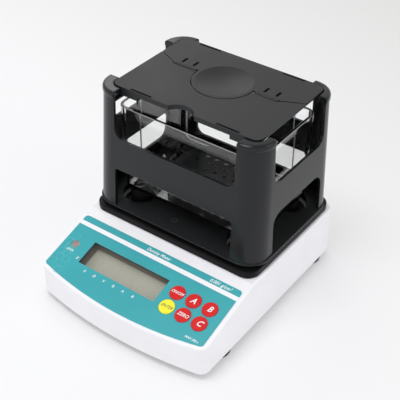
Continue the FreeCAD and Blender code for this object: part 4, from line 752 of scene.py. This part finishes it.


# ---------------------------------------------------------------- tank
# An open tank moulded in clear acrylic, standing on the four soft rings. Its
# rim edges carry a pale frosted band, a painted highlight that reads as thin bright lines.

RIM_EDGE = (-0.55 * MM, -0.03 * MM)
ACRYLIC, tree, shader = start_finish("clear_acrylic", (0.985, 0.99, 0.985), 0.02)
shader.inputs["Transmission Weight"].default_value = 1.0
shader.inputs["IOR"].default_value = 1.49
vector = place_in(tree)
rim_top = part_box("tank")[1].z
# A pale band painted round the top of the rim edges: a painted highlight.
rim_highlight = band(tree, height_in(tree, vector), rim_top + RIM_EDGE[0], rim_top + RIM_EDGE[1], 0.02 * MM)
rim_highlight_shader = tree.nodes.new("ShaderNodeBsdfPrincipled")
rim_highlight_shader.inputs["Base Color"].default_value = (0.80, 0.80, 0.76, 1)
rim_highlight_shader.inputs["Roughness"].default_value = 0.3
both = tree.nodes.new("ShaderNodeMixShader")
join(tree, (span(tree, rim_highlight, 0.0, 1.0, 0.0, 0.4), both.inputs[0]),
     (shader.outputs[0], both.inputs[1]), (rim_highlight_shader.outputs[0], both.inputs[2]),
     (both.outputs[0], tree.nodes["Material Output"].inputs["Surface"]))
relief(tree, shader, cloud(tree, vector, 12 * MM, 2.0), 0.02 * MM, 0.5)
dress(["tank"], ACRYLIC)


# ---------------------------------------------------------------- basket
# Two stainless wires hang from the table's rails and carry a shallow black
# dish, perforated so that air leaves it when it is lowered into the water.

WIRE, tree, shader = start_finish("stainless_wire", (0.60, 0.60, 0.61), 0.24, 1.0)
vector = place_in(tree)
tree.links.new(vary(tree, cloud(tree, vector, 0.6 * MM, 3.0), 0.18, 0.34),
               shader.inputs["Roughness"])
relief(tree, shader, cloud(tree, vector, 0.2 * MM), 0.004 * MM)
dress(["basket_wire_front", "basket_wire_rear"], WIRE)
DISH = moulded("dish_black", (0.007, 0.008, 0.010), (0.010, 0.011, 0.013),
               0.4 * MM, 0.006 * MM, (0.34, 0.44), 0.01)

perforated, first, last = new_tree("perforated", {
    "Sheet radius": 36.4 * MM, "Hole radius": 2.2 * MM})
edge = step(perforated, "GeometryNodeCurvePrimitiveCircle", Resolution=72)
hole = step(perforated, "GeometryNodeCurvePrimitiveCircle", Resolution=16)
holes = step(perforated, "GeometryNodeRealizeInstances")
pair = step(perforated, "GeometryNodeJoinGeometry")
plate = step(perforated, "GeometryNodeFillCurve")
join(perforated, (first.outputs["Sheet radius"], edge.inputs["Radius"]),
     (first.outputs["Hole radius"], hole.inputs["Radius"]),
     (scatter(perforated, first, hole.outputs[0]), holes.inputs[0]),
     (edge.outputs[0], pair.inputs[0]), (holes.outputs[0], pair.inputs[0]),
     (pair.outputs[0], plate.inputs["Curve"]))
finish_tree(perforated, last, plate.outputs[0], DISH)

# Holes lie in staggered rows, and none comes nearer to the rim than the last clear row.
HOLE_PITCH, ROW_PITCH, CLEAR_RADIUS = 11.0 * MM, 9.53 * MM, 32 * MM
BASKET_Y = 45 * MM
dish_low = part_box("basket_dish")[0].z
spots = []
for row in range(-4, 5):
    for column in range(-4, 5):
        x, y = (column + 0.5 * (row % 2)) * HOLE_PITCH, row * ROW_PITCH
        if math.hypot(x, y) < CLEAR_RADIUS:
            spots.append((x, y, 0))
sheet = grown("dish_sheet", perforated, {"Sheet radius": 36.4 * MM}, DISH, "table",
              spots, Matrix.Translation((0, BASKET_Y, dish_low + 0.3 * MM)))
thicken(sheet.data, 0.7 * MM)
dish_rim = lathed("dish_rim", [(35.6, 0), (36.8, 0), (42.0, 3.6), (42.0, 4.0), (41.4, 4.0),
                               (36.4, 1.1), (35.6, 1.1)], 72,
                  Matrix.Translation((0, BASKET_Y, dish_low)), DISH, "table")
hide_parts("basket_dish")


# ---------------------------------------------------------------- parts inside the base
# The weighing train and its boards: milled and cast aluminium, and glass
# fibre boards with a green mask. The cover hides them.

MILLED, tree, shader = start_finish("milled_aluminium", (0.72, 0.72, 0.74), 0.34, 1.0)
vector = place_in(tree, stretch=(1, 0.05, 1))
tree.links.new(vary(tree, cloud(tree, vector, 0.5 * MM, 4.0), 0.26, 0.44),
               shader.inputs["Roughness"])
relief(tree, shader, cloud(tree, vector, 0.3 * MM), 0.006 * MM)
dress(["load_cell", "load_cell_mount", "load_cell_post"], MILLED)

CAST, tree, shader = start_finish("cast_aluminium", (0.5, 0.5, 0.52), 0.5, 1.0)
vector = place_in(tree)
tree.links.new(vary(tree, cloud(tree, vector, 2 * MM, 4.0), 0.42, 0.6),
               shader.inputs["Roughness"])
relief(tree, shader, cloud(tree, vector, 0.8 * MM, 4.0), 0.04 * MM)
dress(["spider"], CAST)

BOARD, tree, shader = start_finish("board_green", (0.02, 0.13, 0.05), 0.35)
vector = place_in(tree)
tree.links.new(blend_colours(tree, patches(tree, cloud(tree, vector, 3 * MM, 3.0), 0.45, 0.55),
                             (0.018, 0.12, 0.045), (0.03, 0.17, 0.06)),
               shader.inputs["Base Color"])
dress(["keypad_board", "main_board"], BOARD)


# ---------------------------------------------------------------- sockets in the back
# A barrel socket for the mains adapter and a nine-pin data port, each snapped
# into the rear wall of the cover.

SOCKET_HEIGHT, INLET_X, PORT_X = 30 * MM, -60 * MM, 45 * MM
CONTACT_PITCH, CONTACT_ROW, CONTACT_LIFT = 2.77 * MM, 1.42 * MM, 0.13 * MM
facing_back = Matrix.Rotation(math.radians(-90), 4, "X")
dress(["dc_inlet"], PAN_BLACK)
inlet_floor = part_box("dc_inlet")[0].y + 1.6 * MM
lathed("inlet_contact", [(1.12, 0), (1.3, 0), (1.3, 7.7), (1.12, 7.7)], 24,
       Matrix.Translation((INLET_X, inlet_floor, SOCKET_HEIGHT)) @ facing_back,
       STEEL, "base")

dress(["serial_port"], STEEL)
port_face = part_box("serial_port")[1].y + 0.01 * MM
port_lay = Matrix.Translation((PORT_X, port_face, SOCKET_HEIGHT)) @ facing_back
INSERT = moulded("port_insert", (0.012, 0.012, 0.013), (0.018, 0.018, 0.019),
                 0.4 * MM, 0.006 * MM, (0.45, 0.55), 0.005, 0.1 * MM)
insert = bpy.data.meshes.new("port_insert")
insert.from_pydata([(x * MM, y * MM, 0) for x, y in
                    ((-6.4, 3.1), (6.4, 3.1), (7.4, -3.1), (-7.4, -3.1))],
                   [], [(0, 1, 2, 3)])
thicken(insert, 0.09 * MM)
insert.transform(port_lay)
insert.materials.append(INSERT)
keep("port_insert", insert, "base")

contacts, first, last = new_tree("contacts", {
    "Contact radius": 0.62 * MM, "Contact height": 0.06 * MM})
pin = step(contacts, "GeometryNodeMeshCylinder", Vertices=16)
join(contacts, (first.outputs["Contact radius"], pin.inputs["Radius"]),
     (first.outputs["Contact height"], pin.inputs["Depth"]))
finish_tree(contacts, last, scatter(contacts, first, pin.outputs["Mesh"]), STEEL)
rows = [((i - 2) * CONTACT_PITCH, -CONTACT_ROW, CONTACT_LIFT) for i in range(5)]
rows += [((i - 1.5) * CONTACT_PITCH, CONTACT_ROW, CONTACT_LIFT) for i in range(4)]
grown("port_contacts", contacts, {"Contact radius": 0.62 * MM}, STEEL, "base",
      rows, port_lay)


# ---------------------------------------------------------------- floor, light and camera
# A pale paper sweep, painted a little darker towards the back as painted shade, a
# bright room and three soft lamps. The camera looks down on the front right corner.

AWAY = (0.33, 0.94, 0)
FLOOR_REACH = 4
floor_mesh = bpy.data.meshes.new("floor")
floor_mesh.from_pydata([(x * FLOOR_REACH, y * FLOOR_REACH, 0)
                        for x, y in ((-1, -1), (1, -1), (1, 1), (-1, 1))], [], [(0, 1, 2, 3)])
floor = bpy.data.objects.new("floor", floor_mesh)
bpy.context.scene.collection.objects.link(floor)
SWEEP, tree, shader = start_finish("floor_sweep", (0.86, 0.86, 0.87), 0.7, shine=0.2)
# An even glow lifts the floor and the shadows on it.
shader.inputs["Emission Color"].default_value = (1, 1, 1, 1)
shader.inputs["Emission Strength"].default_value = 0.3
# The floor's colour is painted darker towards the back: painted shade standing for the light's
# falloff.
painted_falloff = span(tree, way(tree, place_in(tree), AWAY), 0.05, 0.6, 0.0, 1.0)
tree.links.new(blend_colours(tree, painted_falloff, (0.585, 0.585, 0.597), (0.463, 0.461, 0.456)),
               shader.inputs["Base Color"])
floor_mesh.materials.append(SWEEP)

# The room lights the object, and a plain pale backdrop stands in for it in the camera's view.
world = bpy.data.worlds.new("studio")
bpy.context.scene.world = world
world.use_nodes = True
sky = world.node_tree
room = sky.nodes["Background"]
room.inputs["Color"].default_value = (1, 1, 1, 1)
towards = sky.nodes.new("ShaderNodeTexCoord").outputs["Generated"]
join(sky, (span(sky, height_in(sky, towards), 0.0, 1.0, 1.1, 0.6), room.inputs["Strength"]))
backdrop = sky.nodes.new("ShaderNodeBackground")
backdrop.inputs["Color"].default_value = (0.84, 0.84, 0.845, 1)
seen = sky.nodes.new("ShaderNodeLightPath")
either = sky.nodes.new("ShaderNodeMixShader")
join(sky, (seen.outputs["Is Camera Ray"], either.inputs[0]), (room.outputs[0], either.inputs[1]),
     (backdrop.outputs[0], either.inputs[2]),
     (either.outputs[0], sky.nodes["World Output"].inputs["Surface"]))


def lamp(name, place, aim, power, size):
    """A square soft lamp, turned to what it lights."""
    made = bpy.data.lights.new(name, "AREA")
    made.energy = power
    made.size = size
    thing = bpy.data.objects.new(name, made)
    bpy.context.scene.collection.objects.link(thing)
    thing.location = place
    thing.rotation_euler = (Vector(aim) - Vector(place)).to_track_quat("-Z", "Y").to_euler()


lamp("key", (-0.85, 0.75, 1.0), (0, 0, 0.1), 1.3, 0.5)
lamp("overhead", (-0.12, -0.35, 1.3), (0, 0, 0.1), 6.2, 0.5)
lamp("side", (1.3, 0.25, 0.7), (0, 0, 0.12), 1.5, 0.5)

EYE = Vector((0.4058, -0.5439, 0.6129))
AIM = Vector((-0.0002, 0.025, 0.0834))
ROLL = math.radians(0.8)
lens = bpy.data.cameras.new("camera")
lens.lens = 83.0
lens.sensor_width = 36
lens.shift_x = -0.008
lens.shift_y = -0.014
lens.clip_start = 0.01
camera = bpy.data.objects.new("camera", lens)
bpy.context.scene.collection.objects.link(camera)
camera.location = EYE
level_view = (AIM - EYE).to_track_quat("-Z", "Y").to_matrix()
camera.rotation_euler = (level_view @ Matrix.Rotation(ROLL, 3, "Z")).to_euler()
bpy.context.scene.camera = camera
bpy.context.scene.view_settings.view_transform = "Standard"
